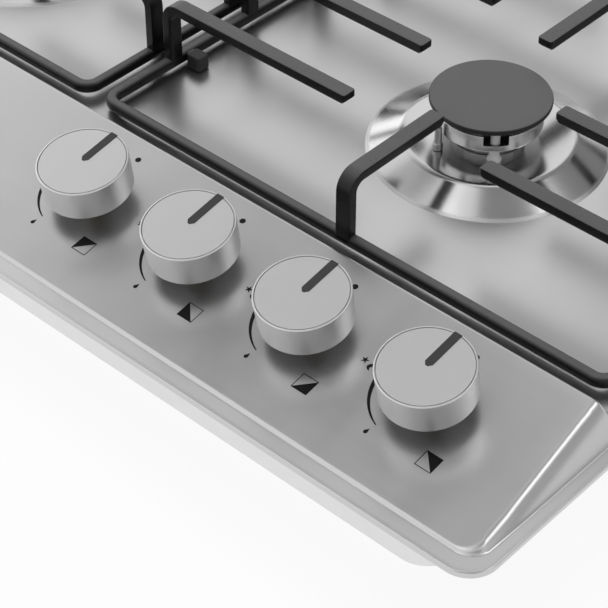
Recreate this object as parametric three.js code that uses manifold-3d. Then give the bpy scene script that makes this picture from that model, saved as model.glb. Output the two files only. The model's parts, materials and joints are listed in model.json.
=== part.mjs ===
// Four-burner built-in gas cooktop: a pressed steel top over a shallow steel box.
// Millimetres, +Z up, +Y towards the back, X across the front.
// The origin is under the middle of the top, on the plane that the bottom box stands on.

import * as THREE from 'three';
import { mergeVertices } from 'three/addons/utils/BufferGeometryUtils.js';
import Module from 'manifold-3d';

const wasm = await Module();
wasm.setup();

// ---------------------------------------------------------------- driving dimensions

const CLEARANCE = 0.3; // gap between pieces that seat on each other
const SHEET = 1.0; // wall of the pressed top
const BOX_WALL = 1.0; // wall of the bottom box

const TOP_WIDTH = 590;
const TOP_DEPTH = 510;
const TOP_CORNER = 13; // plan radius of the outer corners
const RIM_WIDTH = 5.6; // flat border outside the raised deck
const RIM_LIP = 2.6; // height of the turned-down edge
const DECK_RISE = 8.7; // cooking deck above the rim
const WALL_DRAFT = 0.505; // sideways run of the raised walls per unit of height
const DECK_CORNER = 14;

const PANEL_FRONT = 8.3; // bend line of the sloping control panel, from the front edge
const PANEL_STEP = 0.85; // the panel's front edge above the rim
const PANEL_DEPTH = 82.1; // from the bend line to the crest
const PANEL_SLOPE = THREE.MathUtils.degToRad(10.1);
const PANEL_BACK_DRAFT = 0.3;
const PANEL_CORNER = 8.5;

const BOX_SIDE = 35; // side walls of the box, from the sides of the top
const BOX_FRONT = 22; // front wall of the box, from the front edge of the top
const BOX_BACK = 22; // rear wall of the box, from the rear edge of the top
const BOX_HEIGHT = 40; // from the resting plane to the worktop surface
const BOX_CORNER = 16;

const SEAL_THICKNESS = 2.4;
const SEAL_WIDTH = 4.2;

const BURNER_X = 146.8; // burner centres from the centre line
const BURNER_FRONT = 192.4; // front burners, from the front edge
const BURNER_PITCH = 199.4; // front row to rear row

const BAR = 5.2; // section of the support frame bars
const FINGER_WIDTH = 7.5;
const FINGER_THICKNESS = 5;
const FINGER_BEND = 9; // outer radius where a leg turns into a finger
const SUPPORT_TOP = 37; // finger tops above the deck
const SUPPORT_LIFT = 2.2; // frame underside above the deck
const SUPPORT_INNER = 3.4; // inner frame side from the centre line
const SUPPORT_WIDTH = 275.8;
const SUPPORT_FRONT = 97.6;
const SUPPORT_DEPTH = 389;
const SUPPORT_CORNER = 9;
const FINGER_PITCH = 50;
const TIP_MARGIN = 9.3; // finger tips outside the cap edge
const FOOT_LENGTH = 10;
const FOOT_WIDTH = 9;
const FOOT_ROW = 8; // feet behind the first and ahead of the last finger row
const PEG = 4;

const KNOB_SIDE = 63.9; // last knob, from the right-hand edge
const KNOB_PITCH = 61.2;
const KNOB_ROW = 52.4; // knob row from the front edge
const KNOB_RADIUS = 19.5;
const KNOB_FOOT_RADIUS = 19.15;
const KNOB_BOTTOM = 7.3; // above the panel
const KNOB_TOP = 22;
const KNOB_WALL = 1.6;
const KNOB_FACE = 3; // thickness of the knob's top
const HUB_RADIUS = 5.6;
const POINTER_WIDTH = 3.8;
const POINTER_RECESS = 0.6;
const PRESS_TRAVEL = 3.5;

const STEM_RADIUS = 3;
const PLUG_RADIUS = 6;
const PLUG_TOP = -9; // along the spindle, from the panel surface
const PLUG_LENGTH = 23;
const TAP_RADIUS = 11;
const TAP_TOP = -6;
const TAP_OUTLET = -21;
const COLLAR_RADIUS = 9.4;
const COLLAR_HEIGHT = 3.2;
const SPINDLE_HOLE = 7.2;

const RAIL_RADIUS = 8;
const RAIL_OVERHANG = 20; // rail beyond the outer taps
const RAIL_UNION = 13; // inlet union, out from the rail's axis
const PIPE_RADIUS = 3;
const PIPE_GAP = 5.9; // between the inlet pipe and the pipe beside it
const INLET_RADIUS = 6;
const INLET_SIDE = 14; // inlet pipe's centre line, from the outside of the box
const INLET_HEIGHT = 16; // above the box's floor
const INLET_LEAD = 8; // straight end of the inlet pipe at the union
const INLET_RUN = 88; // length over which it then swings out to the side
const INLET_TAIL = 3; // inlet pipe beyond the rear wall
const FITTING_RADIUS = 10.5;
const FITTING_LENGTH = 9;
const THREAD_STEP = 2.2; // thread inside the fitting's corners
const THREAD_LENGTH = 6;

const MODULE_SIDE = 24; // ignition module, from the outside of the box's left-hand wall
const MODULE_FRONT = 18; // and from the outside of its front wall
const MODULE_LENGTH = 60;
const MODULE_WIDTH = 38;
const MODULE_HEIGHT = 23.7;
const MODULE_CORNER = 3;
const LUG_REACH = 7;
const LUG_WIDTH = 10;
const LUG_THICKNESS = 2.4;
const TERMINAL = 5; // section of the spark terminals
const TERMINAL_REACH = 6.5;
const TERMINAL_EDGE = 9; // first terminal, from the module's end

const IGNITER_ANGLE = THREE.MathUtils.degToRad(-45);
const THERMOCOUPLE_ANGLE = THREE.MathUtils.degToRad(-110);
const CERAMIC_RADIUS = 2.6;
const CERAMIC_BASE = 4;
const PROBE_RADIUS = 1.6;
const NOTCH_WIDTH = 13.6;

// Each burner: cap radius, crown radius, neck radius, pressed ring radii, number of flame ports.
const AUXILIARY = { cap: 26.4, crown: 23.1, neck: 16, ringOut: 52.9, ringIn: 37.3, ports: 16 };
const SEMI_RAPID = { cap: 37, crown: 33.4, neck: 23, ringOut: 70, ringIn: 54.4, ports: 22 };
const RAPID = { cap: 48.5, crown: 44.4, neck: 31, ringOut: 89.3, ringIn: 73.7, ports: 28 };
const RING_RISE = 7.2;
const CAP_TOP = 27; // above the deck
const CAP_THICKNESS = 2.6;
const CROWN_BOTTOM = 13.7;
const CROWN_BAND = 2.8; // floor of the crown, up to the notch
const PORT_WIDTH = 1.3;
const PORT_DEPTH = 2.6;
const CUP_DEPTH = 34; // cup below the pressed ring
const SPIGOT_PLAY = 0.9; // crown spigot in the cup's neck

// ---------------------------------------------------------------- derived places

const FRONT_Y = -TOP_DEPTH / 2;
const RIM_TOP = BOX_HEIGHT + SEAL_THICKNESS + CLEARANCE + SHEET;
const DECK_Z = RIM_TOP + DECK_RISE;
const RING_Z = DECK_Z + RING_RISE;
const CREST_Y = FRONT_Y + PANEL_FRONT + PANEL_DEPTH;
const KNOB_Y = FRONT_Y + KNOB_ROW;
const KNOB_FIRST = TOP_WIDTH / 2 - KNOB_SIDE - 3 * KNOB_PITCH;
const UNION_X = KNOB_FIRST + 2.5 * KNOB_PITCH; // between the two right-hand taps
const BOX_X = TOP_WIDTH / 2 - BOX_SIDE; // outside of the box's side walls
const INLET_X = BOX_X - INLET_SIDE;
const INLET_LANE = INLET_X - INLET_RADIUS - PIPE_GAP - PIPE_RADIUS; // gas pipe beside the inlet pipe
const panelHeight = (y) => RIM_TOP + PANEL_STEP + (y - FRONT_Y - PANEL_FRONT) * Math.tan(PANEL_SLOPE);
const CREST_Z = panelHeight(CREST_Y);
const WALL_INSET = SHEET * Math.hypot(1, WALL_DRAFT);

// ---------------------------------------------------------------- solids and materials

const material = (color, roughness, metalness) =>
  new THREE.MeshStandardMaterial({ color, roughness, metalness });

const finishes = {
  steel: material(0xb4b4b4, 0.32, 1),
  boxSteel: material(0x9a9c9e, 0.5, 0.9),
  enamel: material(0x232323, 0.42, 0),
  capEnamel: material(0x565656, 0.5, 0),
  aluminium: material(0xc9c9c9, 0.28, 1),
  castAluminium: material(0x8f9193, 0.55, 0.9),
  knob: material(0xbebebe, 0.3, 0.9),
  ceramic: material(0xeeece6, 0.45, 0),
  rubber: material(0x161616, 0.75, 0),
  brass: material(0xb59a4c, 0.35, 1),
  foam: material(0x2b2b2b, 0.9, 0),
  plastic: material(0x3a3a3a, 0.6, 0),
};

function toSolid(geometry) {
  const bare = geometry.clone();
  bare.deleteAttribute('normal');
  bare.deleteAttribute('uv');
  const merged = mergeVertices(bare, 1e-4);
  return new wasm.Manifold(new wasm.Mesh({
    numProp: 3,
    vertProperties: new Float32Array(merged.attributes.position.array),
    triVerts: new Uint32Array(merged.index.array),
  }));
}

function toGeometry(solid) {
  const mesh = solid.getMesh();
  const geometry = new THREE.BufferGeometry();
  geometry.setAttribute('position', new THREE.BufferAttribute(new Float32Array(mesh.vertProperties), 3));
  geometry.setIndex(new THREE.BufferAttribute(new Uint32Array(mesh.triVerts), 1));
  return geometry;
}

const joinAll = (solids) => solids.reduce((whole, solid) => whole.add(solid));
const cutAll = (solid, cutters) => cutters.reduce((rest, cutter) => rest.subtract(cutter), solid);

// A closed body through outlines of equal point count, each at its own height.
function loft(sections) {
  const count = sections[0].points.length;
  const positions = sections.flatMap(({ points, z }) => points.flatMap(([x, y]) => [x, y, z]));
  const index = [];
  for (let level = 0; level < sections.length - 1; level += 1) {
    for (let i = 0; i < count; i += 1) {
      const a = level * count + i;
      const b = level * count + ((i + 1) % count);
      index.push(a, b, b + count, a, b + count, a + count);
    }
  }
  const last = (sections.length - 1) * count;
  for (let i = 1; i < count - 1; i += 1) {
    index.push(0, i + 1, i, last, last + i, last + i + 1);
  }
  const geometry = new THREE.BufferGeometry();
  geometry.setAttribute('position', new THREE.Float32BufferAttribute(positions, 3));
  geometry.setIndex(index);
  return toSolid(geometry);
}

// Anticlockwise outline of a rectangle with round corners.
function roundedOutline(x0, x1, y0, y1, radius, steps = 4) {
  const points = [];
  const corners = [[x1 - radius, y0 + radius, -90], [x1 - radius, y1 - radius, 0],
    [x0 + radius, y1 - radius, 90], [x0 + radius, y0 + radius, 180]];
  for (const [cx, cy, start] of corners) {
    for (let i = 0; i <= steps; i += 1) {
      const angle = THREE.MathUtils.degToRad(start + (90 * i) / steps);
      points.push([cx + radius * Math.cos(angle), cy + radius * Math.sin(angle)]);
    }
  }
  return points;
}

function slab(x0, x1, y0, y1, radius, z0, z1, steps = 4) {
  const points = roundedOutline(x0, x1, y0, y1, radius, steps);
  return loft([{ points, z: z0 }, { points, z: z1 }]);
}

const block = (width, depth, height, x, y, z) =>
  toSolid(new THREE.BoxGeometry(width, depth, height).translate(x, y, z));

function revolve(profile, segments) {
  const points = profile.map(([r, z]) => new THREE.Vector2(r, z));
  return toSolid(new THREE.LatheGeometry(points, segments).rotateX(Math.PI / 2));
}

// A plain cylinder along Z between two heights.
const post = (radius, z0, z1, segments = 12) =>
  revolve([[0, z0], [radius, z0], [radius, z1], [0, z1]], segments);

function tube(radius, points, sides, steps) {
  const section = new THREE.Shape();
  section.absarc(0, 0, radius, 0, Math.PI * 2);
  const curve = new THREE.CatmullRomCurve3(points.map((p) => new THREE.Vector3(...p)), false, 'centripetal');
  const geometry = new THREE.ExtrudeGeometry(section, {
    steps, extrudePath: curve, curveSegments: sides / 2,
  });
  return toSolid(geometry);
}

const assembly = new THREE.Group();

function place(name, solid, finish, parent = assembly) {
  const mesh = new THREE.Mesh(toGeometry(solid), finish);
  mesh.name = name;
  parent.add(mesh);
  return mesh;
}

// ---------------------------------------------------------------- burners and their places

const rearY = FRONT_Y + BURNER_FRONT + BURNER_PITCH;
const frontY = FRONT_Y + BURNER_FRONT;
const burners = [
  { name: 'front_left', x: -BURNER_X, y: frontY, ...RAPID, inletAngle: -90 },
  { name: 'rear_left', x: -BURNER_X, y: rearY, ...SEMI_RAPID, inletAngle: 0 },
  { name: 'rear_right', x: BURNER_X, y: rearY, ...SEMI_RAPID, inletAngle: 0 },
  { name: 'front_right', x: BURNER_X, y: frontY, ...AUXILIARY, inletAngle: -90 },
];
const burnerNamed = (name) => burners.find((burner) => burner.name === name);

const igniterReach = (burner) => burner.crown - 1.6;
const probeReach = (burner) => burner.crown + CLEARANCE + PROBE_RADIUS + 0.3;
const polar = (reach, angle) => [reach * Math.cos(angle), reach * Math.sin(angle)];

// ---------------------------------------------------------------- pressed steel top

// The raised deck, shrunk by `inset` and lowered by `drop` for its inside face.
function deckBody(inset, drop) {
  const section = (height) => {
    const side = RIM_WIDTH + height * WALL_DRAFT + inset;
    return {
      points: roundedOutline(-TOP_WIDTH / 2 + side, TOP_WIDTH / 2 - side,
        CREST_Y - 28 + inset, TOP_DEPTH / 2 - side, DECK_CORNER - inset),
      z: RIM_TOP - drop + height,
    };
  };
  return loft([section(-SHEET), section(DECK_RISE)]);
}

// The control panel: a drafted body cut off along the sloping panel plane.
function panelBody(inset, drop) {
  const rise = CREST_Z - RIM_TOP;
  const section = (height) => {
    const side = RIM_WIDTH + height * WALL_DRAFT + inset;
    const front = FRONT_Y + PANEL_FRONT;
    const back = CREST_Y + (rise - height) * PANEL_BACK_DRAFT - inset;
    return {
      points: roundedOutline(-TOP_WIDTH / 2 + side, TOP_WIDTH / 2 - side, front, back, PANEL_CORNER),
      z: RIM_TOP - drop + height,
    };
  };
  const body = loft([section(-SHEET), section(rise + 4)]);
  const lid = block(TOP_WIDTH, 3 * PANEL_DEPTH, 40, 0, 0, 20);
  return body.subtract(lid.rotate([THREE.MathUtils.radToDeg(PANEL_SLOPE), 0, 0])
    .translate([0, FRONT_Y + PANEL_FRONT, RIM_TOP + PANEL_STEP - drop]));
}

// The pressed ring round a burner, a low cone with a flat top.
function ringBody(burner, drop) {
  const { ringOut, ringIn } = burner;
  const root = -SHEET * 1.6;
  return revolve([[0, root], [ringOut, root], [ringOut, 0], [ringIn, RING_RISE], [0, RING_RISE]], 32)
    .translate([burner.x, burner.y, DECK_Z - drop]);
}

function pressedTop() {
  const half = TOP_WIDTH / 2;
  const rim = slab(-half, half, FRONT_Y, -FRONT_Y, TOP_CORNER, RIM_TOP - RIM_LIP, RIM_TOP);
  const rimInside = slab(-half + SHEET, half - SHEET, FRONT_Y + SHEET, -FRONT_Y - SHEET,
    TOP_CORNER - SHEET, RIM_TOP - RIM_LIP - 1, RIM_TOP - SHEET);
  const outside = joinAll([rim.subtract(rimInside), deckBody(0, 0), panelBody(0, 0),
    ...burners.map((burner) => ringBody(burner, 0))]);
  const inside = [deckBody(WALL_INSET, SHEET), panelBody(WALL_INSET, SHEET * 1.015),
    ...burners.map((burner) => ringBody(burner, SHEET * 1.1))];
  const holes = burners.flatMap((burner) => {
    const hole = (radius, segments, [dx, dy]) => post(radius, RIM_TOP, RING_Z + 5, segments)
      .translate([burner.x + dx, burner.y + dy, 0]);
    return [hole(burner.neck + 2 * CLEARANCE, 18, [0, 0]),
      hole(CERAMIC_RADIUS + 2 * CLEARANCE, 10, polar(igniterReach(burner), IGNITER_ANGLE)),
      hole(PROBE_RADIUS + 2 * CLEARANCE, 8, polar(probeReach(burner), THERMOCOUPLE_ANGLE))];
  });
  const spindleHoles = knobPlaces().map(({ x }) => post(SPINDLE_HOLE, -10, 10, 16)
    .rotate([THREE.MathUtils.radToDeg(PANEL_SLOPE), 0, 0]).translate([x, KNOB_Y, panelHeight(KNOB_Y)]));
  return cutAll(outside, [...inside, ...holes, ...spindleHoles]);
}

// ---------------------------------------------------------------- bottom box and seal

function bottomBox() {
  const x = BOX_X;
  const y0 = FRONT_Y + BOX_FRONT;
  const y1 = -FRONT_Y - BOX_BACK;
  const top = DECK_Z - SHEET - CLEARANCE;
  const body = slab(-x, x, y0, y1, BOX_CORNER, 0, top);
  const hollow = slab(-x + BOX_WALL, x - BOX_WALL, y0 + BOX_WALL, y1 - BOX_WALL,
    BOX_CORNER - BOX_WALL, BOX_WALL, top + 5);
  const reach = DECK_RISE / Math.sin(PANEL_SLOPE);
  const underPanel = block(TOP_WIDTH, 200, 60, 0, reach - 100, 30)
    .rotate([THREE.MathUtils.radToDeg(PANEL_SLOPE), 0, 0])
    .translate([0, FRONT_Y + PANEL_FRONT, RIM_TOP + PANEL_STEP - SHEET * 1.015 - CLEARANCE]);
  const inletHole = post(INLET_RADIUS + 1, -30, 30).rotate([90, 0, 0])
    .translate([INLET_X, y1, BOX_WALL + INLET_HEIGHT]);
  return cutAll(body, [hollow, underPanel, inletHole]);
}

function worktopSeal() {
  const outer = RIM_WIDTH - SEAL_WIDTH;
  const x = TOP_WIDTH / 2;
  const y = TOP_DEPTH / 2;
  const ring = slab(-x + outer, x - outer, -y + outer, y - outer, TOP_CORNER - outer,
    BOX_HEIGHT, BOX_HEIGHT + SEAL_THICKNESS);
  const inner = outer + SEAL_WIDTH;
  return ring.subtract(slab(-x + inner, x - inner, -y + inner, y - inner, TOP_CORNER - inner,
    BOX_HEIGHT - 1, BOX_HEIGHT + SEAL_THICKNESS + 1));
}

// ---------------------------------------------------------------- pan supports

// A bent finger: a leg, a round bend and a level run to a tip with its lower corner cut off.
// It starts at the origin, stands up along Z and reaches out along +X.
function finger(reach, height) {
  const inner = FINGER_BEND - FINGER_THICKNESS;
  const chamfer = FINGER_THICKNESS * 0.4;
  const shape = new THREE.Shape();
  shape.moveTo(0, 0);
  shape.lineTo(FINGER_THICKNESS, 0);
  shape.lineTo(FINGER_THICKNESS, height - FINGER_BEND);
  shape.absarc(FINGER_BEND, height - FINGER_BEND, inner, Math.PI, Math.PI / 2, true);
  shape.lineTo(reach - chamfer, height - FINGER_THICKNESS);
  shape.lineTo(reach, height - FINGER_THICKNESS + chamfer);
  shape.lineTo(reach, height);
  shape.lineTo(FINGER_BEND, height);
  shape.absarc(FINGER_BEND, height - FINGER_BEND, FINGER_BEND, Math.PI / 2, Math.PI, false);
  const geometry = new THREE.ExtrudeGeometry(shape, {
    depth: FINGER_WIDTH, bevelEnabled: false, curveSegments: 3,
  });
  return toSolid(geometry.rotateX(Math.PI / 2).translate(0, FINGER_WIDTH / 2, 0));
}

// The frame bar runs round the support with its edges taken off.
function supportFrame() {
  const edge = 1.1;
  const ring = (inset, grow) => {
    const outline = roundedOutline(SUPPORT_INNER + inset - grow, SUPPORT_INNER + SUPPORT_WIDTH - inset + grow,
      SUPPORT_FRONT + inset - grow, SUPPORT_FRONT + SUPPORT_DEPTH - inset + grow,
      Math.max(SUPPORT_CORNER - inset + grow, 1), 3);
    return outline.map(([x, y]) => [x, y + FRONT_Y]);
  };
  const base = DECK_Z + SUPPORT_LIFT;
  const levels = [[0, 0], [BAR - edge, 0], [BAR, edge]];
  const outside = loft(levels.map(([z, cut]) => ({ points: ring(0, -cut), z: base + z })));
  const inside = loft([[-1, 0], ...levels.slice(1), [BAR + 1, edge + 1]]
    .map(([z, cut]) => ({ points: ring(BAR, cut), z: base + z })));
  return outside.subtract(inside);
}

const rowOffsets = [-FINGER_PITCH, 0, FINGER_PITCH];
const footRows = [BURNER_FRONT - FINGER_PITCH + FOOT_ROW,
  BURNER_FRONT + BURNER_PITCH + FINGER_PITCH - FOOT_ROW];
const footZ = DECK_Z + CLEARANCE;
const FOOT_HEIGHT = SUPPORT_LIFT + BAR - CLEARANCE;

// Feet sit on pegs that stand inwards from the side bars: [x of the peg root, side, y].
function footPlaces() {
  const left = SUPPORT_INNER + BAR;
  const right = SUPPORT_INNER + SUPPORT_WIDTH - BAR;
  return footRows.flatMap((row) => [[left, 1, row + FRONT_Y], [right, -1, row + FRONT_Y]]);
}

function panSupport(frontBurner, rearBurner) {
  const height = SUPPORT_TOP - SUPPORT_LIFT - BAR / 2;
  const z = DECK_Z + SUPPORT_LIFT + BAR / 2;
  const x0 = SUPPORT_INNER;
  const x1 = SUPPORT_INNER + SUPPORT_WIDTH;
  const y0 = FRONT_Y + SUPPORT_FRONT;
  const y1 = y0 + SUPPORT_DEPTH;
  const parts = [supportFrame()];
  for (const burner of [frontBurner, rearBurner]) {
    const tip = burner.cap + TIP_MARGIN;
    for (const offset of rowOffsets) {
      parts.push(finger(BURNER_X - tip - x0, height).translate([x0, burner.y + offset, z]));
      parts.push(finger(x1 - BURNER_X - tip, height).rotate([0, 0, 180])
        .translate([x1, burner.y + offset, z]));
    }
  }
  const middle = (y0 + y1) / 2;
  const frontTip = frontBurner.y - frontBurner.cap - TIP_MARGIN;
  const rearTip = rearBurner.y + rearBurner.cap + TIP_MARGIN;
  parts.push(finger(frontTip - y0, height).rotate([0, 0, 90]).translate([BURNER_X, y0, z]));
  parts.push(finger(y1 - rearTip, height).rotate([0, 0, -90]).translate([BURNER_X, y1, z]));
  const overlap = 1;
  parts.push(finger(BURNER_X - x0 + overlap, height).translate([x0, middle, z]));
  parts.push(finger(x1 - BURNER_X + overlap, height).rotate([0, 0, 180]).translate([x1, middle, z]));
  const ridgeFront = frontBurner.y + frontBurner.cap + TIP_MARGIN;
  const ridgeBack = rearBurner.y - rearBurner.cap - TIP_MARGIN;
  parts.push(block(FINGER_WIDTH, ridgeBack - ridgeFront, FINGER_THICKNESS, BURNER_X,
    (ridgeBack + ridgeFront) / 2, DECK_Z + SUPPORT_TOP - FINGER_THICKNESS / 2));
  for (const [x, side, y] of footPlaces()) {
    const length = FOOT_LENGTH / 2;
    parts.push(block(length + 1, PEG, PEG, x + (side * (length - 1)) / 2, y, DECK_Z + SUPPORT_LIFT + BAR / 2));
  }
  return joinAll(parts);
}

function supportFoot(x, side, y) {
  const x0 = x + side * CLEARANCE;
  const x1 = x + side * (FOOT_LENGTH + CLEARANCE);
  const body = slab(Math.min(x0, x1), Math.max(x0, x1), y - FOOT_WIDTH / 2, y + FOOT_WIDTH / 2, 1.5,
    footZ, footZ + FOOT_HEIGHT, 1);
  const socket = FOOT_LENGTH / 2 + CLEARANCE;
  return body.subtract(block(socket + 2, PEG + 2 * CLEARANCE, PEG + 2 * CLEARANCE,
    x + (side * (socket - 2)) / 2, y, DECK_Z + SUPPORT_LIFT + BAR / 2));
}

// ---------------------------------------------------------------- burner pieces

const cupTop = RING_Z - SHEET * 1.1 - CLEARANCE; // flange under the pressed ring
const cupBottom = RING_Z - CUP_DEPTH;
const crownZ = DECK_Z + CROWN_BOTTOM;
const capUnder = DECK_Z + CAP_TOP - CAP_THICKNESS;
const crownTop = capUnder - CLEARANCE;
const INLET_Z = cupBottom + 9;
const CUP_STEP = 5; // cup body inside its flange

// The cup holds the jet, hangs under the ring by its flange and carries the crown on its neck.
function burnerCup(burner) {
  const { neck } = burner;
  const bore = neck - 4;
  const body = neck + 1;
  const cup = revolve([[0, cupBottom], [body, cupBottom], [body, cupTop - 3], [neck + CUP_STEP, cupTop - 3],
    [neck + CUP_STEP, cupTop], [neck, cupTop], [neck, crownZ - CLEARANCE], [bore, crownZ - CLEARANCE],
    [bore, cupBottom + 4], [0, cupBottom + 4]], 18);
  const boss = post(PIPE_RADIUS + 2.4, body - 3, body + 8, 10).rotate([0, 90, 0])
    .rotate([0, 0, burner.inletAngle]).translate([0, 0, INLET_Z]);
  const jet = revolve([[0, cupBottom + 3], [4, cupBottom + 3], [2.6, cupBottom + 15], [0, cupBottom + 15]], 8);
  const igniterHole = post(CERAMIC_BASE + CLEARANCE, cupBottom, cupTop + 5, 10)
    .translate([...polar(igniterReach(burner), IGNITER_ANGLE), 0]);
  return cutAll(joinAll([cup, boss, jet]), [igniterHole]).translate([burner.x, burner.y, 0]);
}

// The crown is a shallow dish with flame ports round its rim and a notch for the igniter.
function burnerCrown(burner) {
  const { crown, neck, ports } = burner;
  const bore = neck - 4;
  const wall = 4;
  const floor = crownZ + CROWN_BAND;
  const spigot = bore - SPIGOT_PLAY;
  const segments = crown < 30 ? 1.5 * ports : ports;
  const dish = revolve([[crown - 0.8, crownZ], [crown, crownZ + 0.8], [crown, crownTop],
    [crown - wall, crownTop], [crown - wall, floor], [spigot - 2.5, floor], [spigot - 2.5, crownZ - 6],
    [spigot, crownZ - 6], [spigot, crownZ], [crown - 0.8, crownZ]], segments)
    .rotate([0, 0, 90 + THREE.MathUtils.radToDeg(IGNITER_ANGLE)]);
  const slots = [];
  for (let i = 0; i < ports; i += 1) {
    const angle = IGNITER_ANGLE + ((i + 0.5) * 2 * Math.PI) / ports;
    slots.push(block(wall + 3, PORT_WIDTH, PORT_DEPTH + 1, crown - wall / 2, 0, crownTop - PORT_DEPTH / 2 + 0.5)
      .rotate([0, 0, THREE.MathUtils.radToDeg(angle)]));
  }
  const reach = igniterReach(burner);
  const notch = block(wall + 4, NOTCH_WIDTH, crownTop - floor + 2, crown - wall / 2 + 0.5, 0,
    (crownTop + floor) / 2 + 1.2).rotate([0, 0, THREE.MathUtils.radToDeg(IGNITER_ANGLE)]);
  const ceramicHole = post(CERAMIC_RADIUS + 0.5, crownZ - 1, crownTop + 1, 10)
    .translate([...polar(reach, IGNITER_ANGLE), 0]);
  return cutAll(dish, [...slots, notch, ceramicHole]).translate([burner.x, burner.y, 0]);
}

function burnerCap(burner) {
  const { cap, crown } = burner;
  const top = DECK_Z + CAP_TOP;
  const lip = crown - 4 - 1.4;
  return revolve([[0, capUnder - 1.2], [lip, capUnder - 1.2], [lip, capUnder], [cap - 0.6, capUnder],
    [cap, capUnder + 1], [cap - 1.2, top], [0, top]], 28).translate([burner.x, burner.y, 0]);
}

function igniter(burner) {
  const low = RING_Z - SHEET * 1.1 - CLEARANCE;
  const high = capUnder - 1.4;
  const seat = RING_Z + CLEARANCE;
  return revolve([[0, low - 12], [CERAMIC_RADIUS, low - 12], [CERAMIC_RADIUS, seat], [CERAMIC_BASE, seat],
    [CERAMIC_BASE, seat + 2.6], [CERAMIC_RADIUS, seat + 3.6], [CERAMIC_RADIUS, high - 1.4], [0.7, high],
    [0, high]], 10)
    .translate([...polar(igniterReach(burner), IGNITER_ANGLE), 0]).translate([burner.x, burner.y, 0]);
}

function thermocouple(burner) {
  const seat = RING_Z + CLEARANCE;
  const high = DECK_Z + CAP_TOP - 8;
  return revolve([[0, seat - 18], [PROBE_RADIUS, seat - 18], [PROBE_RADIUS, seat], [PROBE_RADIUS + 0.6, seat],
    [PROBE_RADIUS + 0.6, seat + 3], [PROBE_RADIUS, seat + 3.4], [PROBE_RADIUS, high - 1.2],
    [PROBE_RADIUS - 0.6, high], [0, high]], 8)
    .translate([...polar(probeReach(burner), THERMOCOUPLE_ANGLE), 0]).translate([burner.x, burner.y, 0]);
}

// ---------------------------------------------------------------- taps, rail and pipes

// Everything on a spindle is drawn in a frame on the panel surface, Z out along the spindle.
function knobPlaces() {
  return ['rear_left', 'front_left', 'front_right', 'rear_right']
    .map((name, i) => ({ name, x: KNOB_FIRST + i * KNOB_PITCH }));
}

const railZ = BOX_WALL + CLEARANCE + RAIL_RADIUS;
const railDrop = (panelHeight(KNOB_Y) - railZ) / Math.cos(PANEL_SLOPE); // rail below the panel, on the spindle
const railY = KNOB_Y + railDrop * Math.sin(PANEL_SLOPE);
const inletZ = BOX_WALL + INLET_HEIGHT;

function tapBody() {
  const seat = -railDrop + RAIL_RADIUS;
  const hollow = PLUG_RADIUS + CLEARANCE;
  const bottom = PLUG_TOP - PLUG_LENGTH - CLEARANCE;
  const barrel = revolve([[0, seat - 3], [TAP_RADIUS - 1.5, seat - 3], [TAP_RADIUS - 1.5, TAP_TOP - 4],
    [TAP_RADIUS, TAP_TOP - 4], [TAP_RADIUS, TAP_TOP], [hollow, TAP_TOP], [hollow, bottom], [0, bottom]], 14);
  const saddle = block(22, 2 * RAIL_RADIUS + 5, 10, 0, 0, seat - 2);
  const outlet = post(PIPE_RADIUS + 2.4, TAP_RADIUS - 4, TAP_RADIUS + 6, 10).rotate([-90, 0, 0])
    .translate([0, 0, TAP_OUTLET]);
  const rail = post(RAIL_RADIUS + CLEARANCE, -40, 40, 16).rotate([0, 90, 0]).translate([0, 0, -railDrop]);
  return joinAll([barrel, saddle, outlet]).subtract(rail);
}

function tapPlug() {
  const bore = STEM_RADIUS + CLEARANCE;
  const low = PLUG_TOP - PLUG_LENGTH;
  return revolve([[0, low], [PLUG_RADIUS, low], [PLUG_RADIUS, PLUG_TOP], [bore, PLUG_TOP],
    [bore, low + 3], [0, low + 3]], 12);
}

const STEM_END = KNOB_TOP - KNOB_FACE - 3;

function tapStem() {
  const low = PLUG_TOP - PLUG_LENGTH + 3 + CLEARANCE + PRESS_TRAVEL;
  const stem = revolve([[0, low], [STEM_RADIUS, low], [STEM_RADIUS, STEM_END - 0.6],
    [STEM_RADIUS - 0.6, STEM_END], [0, STEM_END]], 12);
  const flat = block(8, 4, 10, 0, STEM_RADIUS - 0.8 + 2, STEM_END - 5);
  return stem.subtract(flat);
}

function knob() {
  const bore = STEM_RADIUS + CLEARANCE;
  const under = KNOB_TOP - KNOB_FACE;
  const body = revolve([[0, STEM_END + CLEARANCE], [bore, STEM_END + CLEARANCE], [bore, KNOB_BOTTOM + 0.6],
    [HUB_RADIUS, KNOB_BOTTOM + 0.6], [HUB_RADIUS, under], [KNOB_RADIUS - KNOB_WALL - 0.3, under],
    [KNOB_FOOT_RADIUS - KNOB_WALL, KNOB_BOTTOM], [KNOB_FOOT_RADIUS, KNOB_BOTTOM],
    [KNOB_RADIUS, KNOB_TOP - 0.8], [KNOB_RADIUS - 0.8, KNOB_TOP], [0, KNOB_TOP]], 24);
  const recess = block(POINTER_WIDTH, KNOB_RADIUS + 2, POINTER_RECESS * 2, 0, KNOB_RADIUS / 2 + 1.4, KNOB_TOP);
  return body.subtract(recess);
}

function knobCollar() {
  const bore = STEM_RADIUS + 0.8;
  const skirt = SPINDLE_HOLE - CLEARANCE;
  return revolve([[bore, -SHEET - 1], [skirt, -SHEET - 1], [skirt, CLEARANCE], [COLLAR_RADIUS, CLEARANCE],
    [COLLAR_RADIUS, 1.4], [bore + 1.4, COLLAR_HEIGHT], [bore, COLLAR_HEIGHT], [bore, -SHEET - 1]], 14);
}

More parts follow.
